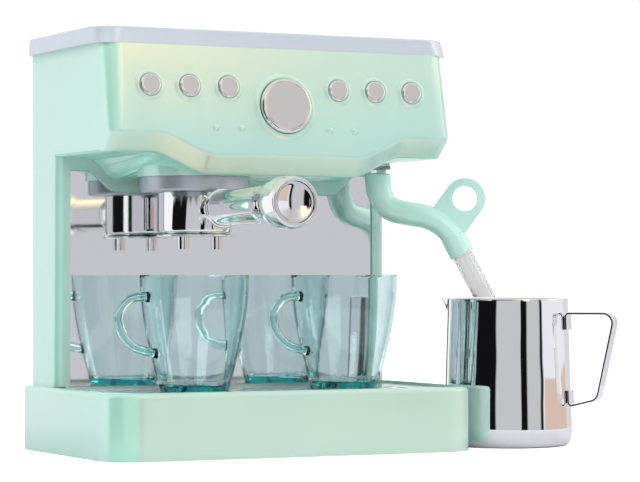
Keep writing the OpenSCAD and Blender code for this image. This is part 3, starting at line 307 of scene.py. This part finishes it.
lid_silver = make_metal("lid_silver", srgb(210, 219, 230), 0.2, 0.04, 30.0, 0.1, 0.00001, 0.45)
collar_silver = make_metal("collar_silver", srgb(186, 192, 200), 0.32, 0.05, 40.0, 0.1, 0.00002, 0.6)
tray_silver = make_metal("tray_silver", srgb(222, 225, 228), 0.16, 0.05, 30.0, 0.2, 0.00005, 0.85)
mirror_film = make_metal("mirror_film", srgb(250, 250, 252), 0.05, 0.02, 9.0, 0.3, 0.00004)
plating = make_metal("bright_plating", srgb(246, 246, 247), 0.03, 0.015, 14.0, 0.6, 0.00012, 1.0, 0.99)
jug_plating = make_metal("jug_plating", srgb(246, 246, 247), 0.03, 0.015, 14.0, 1.0, 0.0034, 1.0,
                         0.99, 14.0)
screw_steel = make_metal("zinc_steel", srgb(170, 170, 172), 0.35, 0.1, 300.0, 0.3, 0.0001)

# %% [markdown]
# ## See-through plastics
#
# The mugs are tinted in the mass, so they look faint through one wall and deep teal through the
# thick bottom and along the edges. Absorption inside the body gives exactly that; a coloured
# surface alone would tint every part alike. The tube and the pivot are clear with a milky haze.

# %% Tinted and clear plastic
def make_clear(name, tint, density, roughness, surface_colour, clearness=1.0):
    material, tree, shader, output = new_finish(name)
    surface_of(tree, shader, surface_colour, roughness, 0.02, 30.0, 0.4, 0.00003, 0.985)
    shader.inputs["Transmission Weight"].default_value = clearness
    shader.inputs["IOR"].default_value = 1.47
    if density > 0:
        inside = add(tree, "ShaderNodeVolumeAbsorption", in_Color=tint, in_Density=density)
        tree.links.new(inside.outputs[0], output.inputs["Volume"])
    return material


teal = make_clear("teal_see_through", (0.03, 0.72, 0.72, 1.0), 100.0, 0.02, (0.99, 1.0, 1.0, 1.0))
milky = make_clear("milky_plastic", (0.9, 0.92, 0.93, 1.0), 0.0, 0.1, srgb(250, 250, 250), 0.82)

# %% [markdown]
# ## Rubber and inner plastics
#
# The feet, the button pad and its bar are seldom seen, but they get the same care: a matt
# surface with a clear grain and soft, uneven patches.

# %% Plain inner finishes
def make_matt(name, colour, roughness):
    material, tree, shader, output = new_finish(name)
    surface_of(tree, shader, colour, roughness, 0.12, 60.0, 0.4, 0.0001, 0.86, 900.0)
    return material


white_plastic = make_matt("white_plastic", srgb(226, 227, 226), 0.45)
grey_rubber = make_matt("grey_rubber", srgb(96, 98, 100), 0.7)
pale_rubber = make_matt("pale_rubber", srgb(205, 208, 210), 0.6)

# %% [markdown]
# ## Soft moulded edges
#
# CAD edges are razor sharp, and a real moulded edge never is: its small radius carries a bright
# line of light. Each visible CAD piece is copied, its loose triangles are merged and its flat faces
# dissolved into single polygons, and a narrow bevel rounds what is left. The copy then stands for
# the CAD piece, which stays in the file for the physics.

# %% Copy a CAD piece with softened edges
def node_body(node):
    """The body that a CAD node moves with."""
    for body, members in frame["record"]["behaviour"]["bodies"].items():
        if node in members:
            return body
    raise ValueError(node)


def piece_from(shape, node, finish, radius=0.0, angle=32.0, segments=3):
    """Turns a finished bmesh into the piece that stands for a CAD node."""
    mesh = bpy.data.meshes.new(node + "_piece")
    shape.to_mesh(mesh)
    shape.free()
    piece = bpy.data.objects.new(node + "_piece", mesh)
    bpy.context.scene.collection.objects.link(piece)
    mesh.materials.append(finish)
    mesh.shade_smooth()
    mesh.set_sharp_from_angle(angle=math.radians(angle))
    if radius > 0:
        edge = piece.modifiers.new("edge", "BEVEL")
        edge.width = radius
        edge.segments = segments
        edge.limit_method = "ANGLE"
        edge.angle_limit = math.radians(angle)
        edge.harden_normals = True
        edge.use_clamp_overlap = True
    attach(piece, node_body(node))
    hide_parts(node)
    return piece


def soften(node, finish, radius, angle=32.0, segments=3):
    """Copies a CAD piece, merges its flat faces and bevels its edges."""
    shape = bmesh.new()
    shape.from_mesh(frame["nodes"][node].data)
    bmesh.ops.remove_doubles(shape, verts=shape.verts, dist=2e-6)
    bmesh.ops.dissolve_limit(shape, angle_limit=math.radians(0.4), verts=shape.verts, edges=shape.edges)
    return piece_from(shape, node, finish, radius, angle, segments)


def dress(node, finish):
    """Gives a CAD piece that stays as it is its finish."""
    mesh = frame["nodes"][node].data
    mesh.materials.clear()
    mesh.materials.append(finish)


# %% Housing, base and lid
soften("housing", mint, 0.0005)
soften("base_shell", mint, 0.0004)
soften("back_cover", mint, 0.0004)
soften("lid", lid_silver, 0.0003)
soften("splash_panel", mirror_film, 0.0001)
soften("drip_tray", tray_silver, 0.0003)
soften("group_collar", collar_silver, 0.0003)
soften("wand_arm", mint_wand_painted_lighter, 0.0004)
print("moulded shells dressed")

# %% [markdown]
# ## Turned pieces
#
# The filter holder's handle and the jug are round, and bright plating shows every facet of a
# coarse circle. So these are turned again here from a profile: a few points, joined by edges, that
# the spin operator carries round in many small steps. After a full turn the seam is merged, and
# the normals are made to point outwards.

# %% Turn a profile
def turned(points, steps, ring=False):
    """Spins a profile of (radius, height) points in millimetres round Z into a closed shape."""
    shape = bmesh.new()
    line = [shape.verts.new((radius / 1000, 0.0, height / 1000)) for radius, height in points]
    ends = line[1:] + line[:1] if ring else line[1:]
    edges = [shape.edges.new(pair) for pair in zip(line, ends)]
    bmesh.ops.spin(shape, geom=line + edges, cent=(0, 0, 0), axis=(0, 0, 1), angle=math.tau,
                   steps=steps, use_merge=True)
    bmesh.ops.remove_doubles(shape, verts=shape.verts, dist=1e-6)
    bmesh.ops.recalc_face_normals(shape, faces=shape.faces)
    return shape


def arc(centre, radius, start, stop, count):
    """Points on a rounding, from one angle to another in degrees."""
    turns = [math.radians(start + (stop - start) * i / count) for i in range(count + 1)]
    return [(centre[0] + radius * math.cos(t), centre[1] + radius * math.sin(t)) for t in turns]


# %% [markdown]
# The handle is one turned plated piece: a flange at the neck, a straight tube, a sleeve with a
# small step, and a bell that swells and closes in a rim. Its axis rises a little towards the hand.

# %% Filter holder's handle
basket_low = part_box("portafilter_basket")[0]
plate_low, plate_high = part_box("spout_plate")
group_x = (plate_low[0] + plate_high[0]) / 2
group_y = (plate_low[1] + plate_high[1]) / 2
AXIS_RISE = math.radians(0.7)
AXIS_HEIGHT = 0.0132
NECK = 24.5
TUBE, BELL, RIM = 9.8, 13.8, 12.6
LENGTH = 102.5
SLEEVE = 62.5
WIDEST = 92.5

swell = [(TUBE + 0.35 + (BELL - TUBE - 0.35) * t * t * (3 - 2 * t),
          SLEEVE + 4 + (WIDEST - SLEEVE - 4) * t)
         for t in [i / 24 for i in range(1, 25)]]
close = [(RIM + (BELL - RIM) * math.cos(math.radians(a)), WIDEST + 9 * math.sin(math.radians(a)))
         for a in range(6, 86, 6)]
handle_profile = (
    [(0, -6), (3, -6), (3, 0), (4.7, 0)] + arc((4.7, 1.0), 0.8, -60, 60, 6)
    + [(4.2, 2.4), (4.2, 9), (8.0, 9.4), (8.4, 10), (9.2, 10.8), (9.2, 11.8)]
    + arc((9.9, 13.1), 1.0, -65, 65, 8) + [(9.85, 14.3), (TUBE, 15.0), (TUBE, 16.0), (TUBE, SLEEVE - 1)]
    + [(TUBE, SLEEVE), (TUBE + 0.35, SLEEVE + 0.15), (TUBE + 0.35, SLEEVE + 1), (TUBE + 0.35, SLEEVE + 4)]
    + swell + close
    + arc((RIM - 0.6, LENGTH - 0.7), 0.6, 10, 90, 5) + arc((11.3, LENGTH - 0.5), 0.4, 90, 180, 4)
    + [(10.8, LENGTH - 4), (0, LENGTH - 4)]
)
handle = turned(handle_profile, 96)
to_axis = (Matrix.Translation((group_x, group_y, basket_low[2] + AXIS_HEIGHT))
           @ Matrix.Rotation(math.pi / 2 - AXIS_RISE, 4, "X") @ Matrix.Translation((0, 0, NECK / 1000)))
bmesh.ops.transform(handle, matrix=to_axis, verts=handle.verts)
print("handle", len(handle.faces), "faces; neck at", round(group_x * 1000, 1), round(group_y * 1000, 1))
piece_from(handle, "portafilter_handle", plating, 0.0, 40.0)

# %% Basket, spouts and end cap
for node in ("portafilter_basket", "spout_plate", "handle_end_cap"):
    soften(node, plating, 0.0001)

# %% [markdown]
# ## Buttons, dial and their collars
#
# Each button is a plated cap with a rounded shoulder and a flat face inside a hair-fine groove,
# and the dial is the same, larger. They stand in soft collars that are moulded with the panel, as
# are four small dots. The collars and dots are one extra piece that rides with the housing.
# All of them are turned upright first and then laid on the leaning panel by one matrix.

# %% The panel's own frame
HEAD_TOP = 0.2209
PANEL_TOP = -0.0360
PANEL_LEAN = math.radians(9.5)


def on_panel(x, drop):
    """Places Z-up things on the panel, a drop below the head's upper edge, Z pointing outwards."""
    y = PANEL_TOP - drop * math.tan(PANEL_LEAN)
    return Matrix.Translation((x, y, HEAD_TOP - drop)) @ Matrix.Rotation(math.pi / 2 - PANEL_LEAN, 4, "X")


# %% Buttons
BUTTON_DROP, DIAL_DROP, DOT_DROP = 0.0221, 0.0318, 0.0441
FIRST_BUTTON, BUTTON_PITCH = 0.0332, 0.02285
button_places = ([-FIRST_BUTTON - BUTTON_PITCH * i for i in (2, 1, 0)]
                 + [FIRST_BUTTON + BUTTON_PITCH * i for i in (0, 1, 2)])
button_profile = (
    [(0, -4.8), (2.6, -4.8), (2.6, -3.8), (7.2, -3.8), (7.2, -2.6), (6, -2.6)]
    + [(4.95 + 1.05 * math.cos(math.radians(a)), 0.8 + 1.1 * math.sin(math.radians(a)))
       for a in range(0, 91, 10)]
    + [(4.85, 1.84), (4.78, 1.66), (4.62, 1.66), (4.55, 1.88), (4.4, 1.9), (4.2, 1.9), (0, 1.9)]
)
for number, x in enumerate(button_places, 1):
    button = turned(button_profile, 72)
    bmesh.ops.transform(button, matrix=on_panel(x, BUTTON_DROP), verts=button.verts)
    piece_from(button, "button_%d" % number, plating, 0.0, 40.0)
print("buttons at", [round(x * 1000, 1) for x in button_places])

# %% Dial
dial_profile = (
    [(0, -8.2), (3, -8.2), (3, 0.4), (15.1, 0.4), (15.1, 2.2)]
    + [(13.4 + 1.7 * math.cos(math.radians(a)), 2.2 + 1.7 * math.sin(math.radians(a)))
       for a in range(8, 91, 7)]
    + [(13.3, 3.82), (13.2, 3.62), (13.0, 3.62), (12.95, 3.88), (12.8, 3.9), (12.6, 3.9), (0, 3.9)]
)
dial = turned(dial_profile, 128)
bmesh.ops.transform(dial, matrix=on_panel(0, DIAL_DROP), verts=dial.verts)
piece_from(dial, "dial_knob", plating, 0.0, 40.0)

# %% Collars and dots moulded with the panel
dot_places = (-0.0419, -0.0266, 0.0266, 0.0419)
button_collar = [(6.12, -0.4), (6.12, 0.6), (6.4, 0.98), (6.85, 1.15), (7.25, 1.1), (7.65, 0.8),
                 (8.0, 0.4), (8.35, 0.1), (8.8, -0.1), (8.8, -0.4)]
dial_collar = [(15.22, -0.4), (15.22, 0.8), (15.5, 1.25), (16.1, 1.45), (16.65, 1.4), (17.2, 1.05),
               (17.7, 0.6), (18.2, 0.2), (18.9, -0.1), (18.9, -0.4)]
dot = [(0, -0.4), (1.95, -0.4), (1.9, 0.0), (1.6, 0.6), (1.1, 1.0), (0.55, 1.2), (0, 1.26)]
collars = bmesh.new()
for profile, ring, places in ((button_collar, True, [(x, BUTTON_DROP) for x in button_places]),
                              (dial_collar, True, [(0, DIAL_DROP)]),
                              (dot, False, [(x, DOT_DROP) for x in dot_places])):
    for x, drop in places:
        one = turned(profile, 64, ring)
        bmesh.ops.transform(one, matrix=on_panel(x, drop), verts=one.verts)
        part = bpy.data.meshes.new("part")
        one.to_mesh(part)
        one.free()
        collars.from_mesh(part)
        bpy.data.meshes.remove(part)
mesh = bpy.data.meshes.new("panel_collars")
collars.to_mesh(mesh)
collars.free()
mesh.materials.append(mint)
mesh.shade_smooth()
mesh.set_sharp_from_angle(angle=math.radians(60))
collar_piece = bpy.data.objects.new("panel_collars", mesh)
bpy.context.scene.collection.objects.link(collar_piece)
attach(collar_piece, node_body("housing"))
print("panel collars", len(mesh.polygons), "faces")

# %% [markdown]
# ## The milk jug
#
# A deep-drawn steel jug has a thin wall, a rounded foot, a rim rolled smooth, and a lip that is
# pushed out of the rim with a round tool. The wall is turned first. The lip is then drawn out by
# moving the upper points outwards, most in the lip's own direction and at the rim, so that it
# runs into the wall without a seam.

# %% Jug body
JUG_HEIGHT = 84.4
JUG_TURN = math.radians(-46)
FOOT, MOUTH, WALL = 37.0, 34.4, 1.4
LIP_REACH, LIP_DEPTH, LIP_SPREAD = 5.6, 19.0, 0.36


def wall_radius(height, inset=0.0):
    """The jug's radius in millimetres at a height, or that far inside its outer face."""
    return FOOT - inset + (MOUTH - FOOT) * (height - 5) / (JUG_HEIGHT - 5)


climb = [10.2, 11] + [11 + (JUG_HEIGHT - LIP_DEPTH - 11) * i / 6 for i in range(1, 7)]
lip_climb = [JUG_HEIGHT - LIP_DEPTH + (LIP_DEPTH - 0.7) * i / 12 for i in range(1, 13)]
outside = [(wall_radius(z), z) for z in climb + lip_climb]
inside = [(wall_radius(z, WALL), z) for z in reversed(climb + lip_climb)]
jug_profile = (
    [(0, 0.6), (27, 0.6), (28.6, 0.1), (31.4, 0)] + arc((31.4, 4.8), 4.8, -80, -12, 6)
    + [(36.3, 5.4), (36.52, 7), (36.7, 8.6), (36.79, 9.6)] + outside
    + arc((wall_radius(JUG_HEIGHT) - WALL / 2, JUG_HEIGHT - 0.7), WALL / 2, 20, 160, 7) + inside
    + [(35.1, 8), (34.7, 5.6), (33.6, 3.2), (31.0, 2), (0, 2)]
)
jug = turned(jug_profile, 144)
for vert in jug.verts:
    height = vert.co.z * 1000 - (JUG_HEIGHT - LIP_DEPTH)
    if height <= 0:
        continue
    radius = math.hypot(vert.co.x, vert.co.y)
    side = abs(math.atan2(vert.co.y, -vert.co.x)) / LIP_SPREAD
    if side < 1:
        share = (height / LIP_DEPTH) ** 3 * (1 - side * side) ** 2
        vert.co.x -= LIP_REACH / 1000 * share * math.cos(side * LIP_SPREAD)
        vert.co.y -= LIP_REACH / 1000 * share * math.sin(side * LIP_SPREAD) * math.copysign(0.4, vert.co.y)
to_jug = Matrix.Translation((0.151, -0.024, 0)) @ Matrix.Rotation(JUG_TURN, 4, "Z")
bmesh.ops.transform(jug, matrix=to_jug, verts=jug.verts)
print("jug", len(jug.faces), "faces")
piece_from(jug, "jug_body", jug_plating, 0.0, 50.0)

# %% [markdown]
# The jug's handle is a strap of sheet steel bent in four places and spot-welded by its two tabs.
# Its outer line is drawn first with rounded bends, then extruded to the strap's width, and given
# its thickness inwards.

# %% Jug handle
def bent(points, radii, count=6):
    """Rounds the inner corners of a line of (x, z) points."""
    line = [points[0]]
    for before, corner, after, radius in zip(points, points[1:], points[2:], radii):
        corner, before, after = Vector(corner), Vector(before), Vector(after)
        to_before, to_after = (before - corner).normalized(), (after - corner).normalized()
        half = to_before.angle(to_after) / 2
        middle = corner + (to_before + to_after).normalized() * radius / math.sin(half)
        start = corner + to_before * radius / math.tan(half) - middle
        stop = corner + to_after * radius / math.tan(half) - middle
        for i in range(count + 1):
            way = start.lerp(stop, i / count).normalized()
            line.append(tuple(middle + way * radius))
    return line + [points[-1]]


STRAP_WIDTH, STRAP_THICK, STANDOFF = 12.0, 1.2, 0.08
strap_line = bent([
    (wall_radius(66.4) + STANDOFF, 66.4), (wall_radius(76.4) + STANDOFF, 76.4), (64.6, 76.4), (54.0, 26.6),
    (wall_radius(22.2) + STANDOFF, 22.2), (wall_radius(32.2) + STANDOFF, 32.2)], [2.5, 6.0, 6.0, 2.5])
strap = bmesh.new()
line = [strap.verts.new((x / 1000, -STRAP_WIDTH / 2000, z / 1000)) for x, z in strap_line]
edges = [strap.edges.new(pair) for pair in zip(line, line[1:])]
wide = bmesh.ops.extrude_edge_only(strap, edges=edges)
moved = [v for v in wide["geom"] if isinstance(v, bmesh.types.BMVert)]
bmesh.ops.translate(strap, vec=(0, STRAP_WIDTH / 1000, 0), verts=moved)
bmesh.ops.recalc_face_normals(strap, faces=strap.faces)
first = min(strap.faces, key=lambda f: f.calc_center_median().x)
if first.normal.x > 0:
    bmesh.ops.reverse_faces(strap, faces=strap.faces)
bmesh.ops.solidify(strap, geom=strap.faces, thickness=STRAP_THICK / 1000)
bmesh.ops.recalc_face_normals(strap, faces=strap.faces)
bmesh.ops.transform(strap, matrix=to_jug, verts=strap.verts)
print("strap", len(strap.faces), "faces")
piece_from(strap, "jug_handle", plating, 0.00025, 40.0)

# %% [markdown]
# ## Mugs, tube and pivot
#
# The mugs keep their CAD shape, which is one sound solid with the handle grown into the wall.
# That matters for a see-through piece: a handle that only overlapped the wall would show its
# own end inside it.

# %% See-through pieces
soften("mug_left", teal, 0.0004, 60.0, 2)
soften("mug_right", teal, 0.0004, 60.0, 2)
dress("wand_tube", milky)
dress("wand_pivot", milky)

# %% Small and inner pieces
for node in ("base_screws", "column_screws", "back_cover_screws", "collar_screws", "carrier_screws",
             "dial_washer", "dial_screw", "pivot_screw"):
    dress(node, screw_steel)
dress("base_plate", mint_dull)
dress("rubber_feet", grey_rubber)
dress("button_pad", pale_rubber)
dress("button_carrier", white_plastic)

# %% [markdown]
# ## Studio floor
#
# The machine stands on a white sweep. The floor is a plain diffuse sheet that also glows, but only
# for the camera and through clear plastic, so it reads as white while it keeps its contact
# shadows. Reflections see it a little darker, and only close by, as in a studio where the paper
# ends. Beyond that they see the screens that stand round it.

# %% Floor
PAPER = 0.34
PAPER_MIDDLE = (0.06, 0.0, 0.0)
FLOOR_HALF = 8.0
FLOOR_GLOW = 0.62


def make_floor():
    shape = bmesh.new()
    bmesh.ops.create_grid(shape, x_segments=1, y_segments=1, size=FLOOR_HALF)
    mesh = bpy.data.meshes.new("floor")
    shape.to_mesh(mesh)
    shape.free()
    floor = bpy.data.objects.new("floor", mesh)
    bpy.context.scene.collection.objects.link(floor)
    material = bpy.data.materials.new("studio_floor")
    material.use_nodes = True
    tree = material.node_tree
    tree.nodes.clear()
    output = tree.nodes.new("ShaderNodeOutputMaterial")
    path = tree.nodes.new("ShaderNodeLightPath")
    place = tree.nodes.new("ShaderNodeTexCoord")
    seen = calculate(tree, "MAXIMUM", path.outputs["Is Camera Ray"], path.outputs["Is Transmission Ray"])
    paper = blend(tree, path.outputs["Is Glossy Ray"], (0.86, 0.86, 0.87, 1.0), (0.73, 0.73, 0.78, 1.0))
    sheet = add(tree, "ShaderNodeBsdfDiffuse", in_Color=paper)
    strength = calculate(tree, "MULTIPLY", seen, FLOOR_GLOW)
    glow = add(tree, "ShaderNodeEmission", in_Color=(1, 1, 1, 1), in_Strength=strength)
    both = tree.nodes.new("ShaderNodeAddShader")
    tree.links.new(sheet.outputs[0], both.inputs[0])
    tree.links.new(glow.outputs[0], both.inputs[1])
    away = add(tree, "ShaderNodeVectorMath", operation="DISTANCE", in_0=place.outputs["Object"],
               in_1=PAPER_MIDDLE)
    beyond = calculate(tree, "GREATER_THAN", away.outputs["Value"], PAPER)
    indirect = calculate(tree, "MAXIMUM", path.outputs["Is Glossy Ray"], path.outputs["Is Transmission Ray"])
    beyond = calculate(tree, "MULTIPLY", beyond, indirect)
    gone = tree.nodes.new("ShaderNodeBsdfTransparent")
    final = add(tree, "ShaderNodeMixShader", in_0=beyond)
    tree.links.new(both.outputs[0], final.inputs[1])
    tree.links.new(gone.outputs[0], final.inputs[2])
    tree.links.new(final.outputs[0], output.inputs["Surface"])
    mesh.materials.append(material)


make_floor()

# %% [markdown]
# ## Studio surroundings
#
# Bright metal shows the room, so the room matters more than the lamps. The world is white to the
# camera and a plain, cool light for the shading. Reflections see a studio in layers. At the
# bottom is a ring of grey, black and white screens, with a tan card low on the right. Over it
# stands a softer ring, dark on the left and warm in front, and over that a grey ceiling. Two warm
# soft boxes shine in front and on the right. Rays that pass through clear plastic see a paler
# copy, white behind the machine, so that the mugs and the tube stay light.
#
# Directions are in degrees, seen from above: 0 is in front of the machine, 90 to its right, -90
# to its left and 180 behind it. The screens are placed for the camera above, so metal looks
# less natural from other sides.

# %% World
GREY = srgb(200, 201, 205)
PALE = srgb(240, 239, 246)
MIST = srgb(220, 220, 227)
DUSK = srgb(80, 78, 82)
CREAM = srgb(255, 244, 214)
BLACK = (0.006, 0.006, 0.007, 1)
WHITE = (1, 1, 1, 1)
LOW_RING = ((-180, WHITE), (-100, WHITE), (-99, BLACK), (-53, BLACK), (-51, GREY), (-7, GREY),
            (-6, BLACK), (5, BLACK), (6, GREY), (30.5, GREY), (31.5, BLACK), (36, BLACK),
            (37.5, PALE), (96, PALE), (106, MIST), (130, MIST), (150, WHITE), (163, WHITE),
            (165, DUSK), (175, DUSK), (177, WHITE))
HIGH_RING = ((-180, WHITE), (-105, WHITE), (-85, srgb(150, 150, 150)), (-55, srgb(60, 60, 60)),
             (-25, srgb(90, 90, 88)), (-8, CREAM), (12, CREAM), (24, srgb(206, 200, 200)),
             (40, srgb(198, 194, 194)), (75, PALE), (180, WHITE))
# Each span is where it fades in and where it fades out, in radians round or as a rise
CARD_SPAN = ((0.66, 0.72), (1.80, 1.72))
LEFT_BOX_SPAN = ((-0.03, 0.03), (0.24, 0.17))
RIGHT_BOX_SPAN = ((1.0, 1.06), (1.4, 1.34))
BOX_HEIGHTS = ((0.14, 0.2), (0.62, 0.5))
CARD_SLOPE = 0.134
CARD_EDGE = (0.1045, 0.0995)
BOX_EXTRA = 0.6


def ring_of_screens(tree, share, stops):
    """Colours round the machine, each at its angle in degrees; returns the colour's socket."""
    ring = add(tree, "ShaderNodeValToRGB", in_Fac=share)
    points = ring.color_ramp.elements
    while len(points) > 1:
        points.remove(points[-1])
    points[0].position = 0.0
    points[0].color = stops[0][1]
    for angle, colour in stops[1:]:
        points.new(angle / 360 + 0.5).color = colour
    return ring.outputs["Color"]


def between(tree, value, span):
    """1 inside a span and 0 outside it, with soft ends."""
    return calculate(tree, "MULTIPLY", ease(tree, value, *span[0]), ease(tree, value, *span[1]))


def make_world():
    world = bpy.data.worlds.new("studio")
    bpy.context.scene.world = world
    world.use_nodes = True
    tree = world.node_tree
    tree.nodes.clear()
    output = tree.nodes.new("ShaderNodeOutputWorld")
    place = tree.nodes.new("ShaderNodeTexCoord")
    way = add(tree, "ShaderNodeSeparateXYZ", in_Vector=place.outputs["Generated"])
    rise = way.outputs["Z"]
    back = calculate(tree, "MULTIPLY", way.outputs["Y"], -1.0)
    turn = calculate(tree, "ARCTAN2", way.outputs["X"], back)
    share = calculate(tree, "MULTIPLY_ADD", turn, 1 / math.tau, 0.5)
    ring = ring_of_screens(tree, share, LOW_RING)
    low = ease(tree, calculate(tree, "MULTIPLY_ADD", share, CARD_SLOPE, rise), *CARD_EDGE)
    card = calculate(tree, "MULTIPLY", low, between(tree, turn, CARD_SPAN))
    studio = blend(tree, card, ring, srgb(220, 196, 180))
    upper = ring_of_screens(tree, share, HIGH_RING)
    ceiling = blend(tree, ease(tree, rise, 0.45, 0.62), upper, srgb(226, 224, 220))
    studio = blend(tree, ease(tree, rise, 0.17, 0.33), studio, ceiling)
    sides = calculate(tree, "MAXIMUM", between(tree, turn, LEFT_BOX_SPAN),
                      between(tree, turn, RIGHT_BOX_SPAN))
    boxes = calculate(tree, "MULTIPLY", sides, between(tree, rise, BOX_HEIGHTS))
    studio = blend(tree, boxes, studio, srgb(255, 238, 196))
    path = tree.nodes.new("ShaderNodeLightPath")
    behind = ease(tree, calculate(tree, "ABSOLUTE", turn), 1.8, 2.1)
    through = blend(tree, behind, blend(tree, 0.6, studio, GREY), WHITE)
    studio = blend(tree, path.outputs["Is Transmission Ray"], studio, through)
    direct = add(tree, "ShaderNodeBackground", in_Color=(1, 1, 1, 1), in_Strength=1.0)
    room = add(tree, "ShaderNodeBackground", in_Color=studio,
               in_Strength=calculate(tree, "MULTIPLY_ADD", boxes, BOX_EXTRA, 1.0))
    plain = add(tree, "ShaderNodeBackground", in_Color=(0.97, 0.99, 1.0, 1), in_Strength=0.62)
    indirect = calculate(tree, "MAXIMUM", path.outputs["Is Glossy Ray"], path.outputs["Is Transmission Ray"])
    glossy = add(tree, "ShaderNodeMixShader", in_0=indirect)
    tree.links.new(plain.outputs[0], glossy.inputs[1])
    tree.links.new(room.outputs[0], glossy.inputs[2])
    final = add(tree, "ShaderNodeMixShader", in_0=path.outputs["Is Camera Ray"])
    tree.links.new(glossy.outputs[0], final.inputs[1])
    tree.links.new(direct.outputs[0], final.inputs[2])
    tree.links.new(final.outputs[0], output.inputs["Surface"])


make_world()
bpy.context.scene.view_settings.view_transform = "Standard"

# %% [markdown]
# Four large area lamps shape the plastic: a key from the upper left in front, one from the front
# below it, one from the right, and one from above. They are left out of reflections, where the
# world's screens stand for them.

# %% Lamps
def make_lamp(name, place, target, size, power, colour=(1, 1, 1)):
    data = bpy.data.lights.new(name, "AREA")
    data.shape = "RECTANGLE"
    data.size, data.size_y = size
    data.energy = power
    data.color = colour
    lamp = bpy.data.objects.new(name, data)
    bpy.context.scene.collection.objects.link(lamp)
    lamp.location = place
    lamp.rotation_mode = "QUATERNION"
    lamp.rotation_quaternion = (Vector(target) - Vector(place)).to_track_quat("-Z", "Y")
    return lamp


lamps = [
    make_lamp("key", (-1.5, -1.3, 1.5), (0, 0, 0.1), (1.2, 1.2), 17.0, (1.0, 0.985, 0.96)),
    make_lamp("front", (0.1, -2.2, 0.8), (0, 0, 0.1), (1.6, 0.7), 7.5),
    make_lamp("side", (1.6, -0.6, 0.9), (0.05, 0, 0.1), (0.9, 1.2), 10.0),
    make_lamp("top", (0.2, 0.3, 1.8), (0, 0, 0.1), (1.4, 1.0), 8.0),
]
for lamp in lamps:
    lamp.visible_glossy = False
print(len(lamps), "lamps")
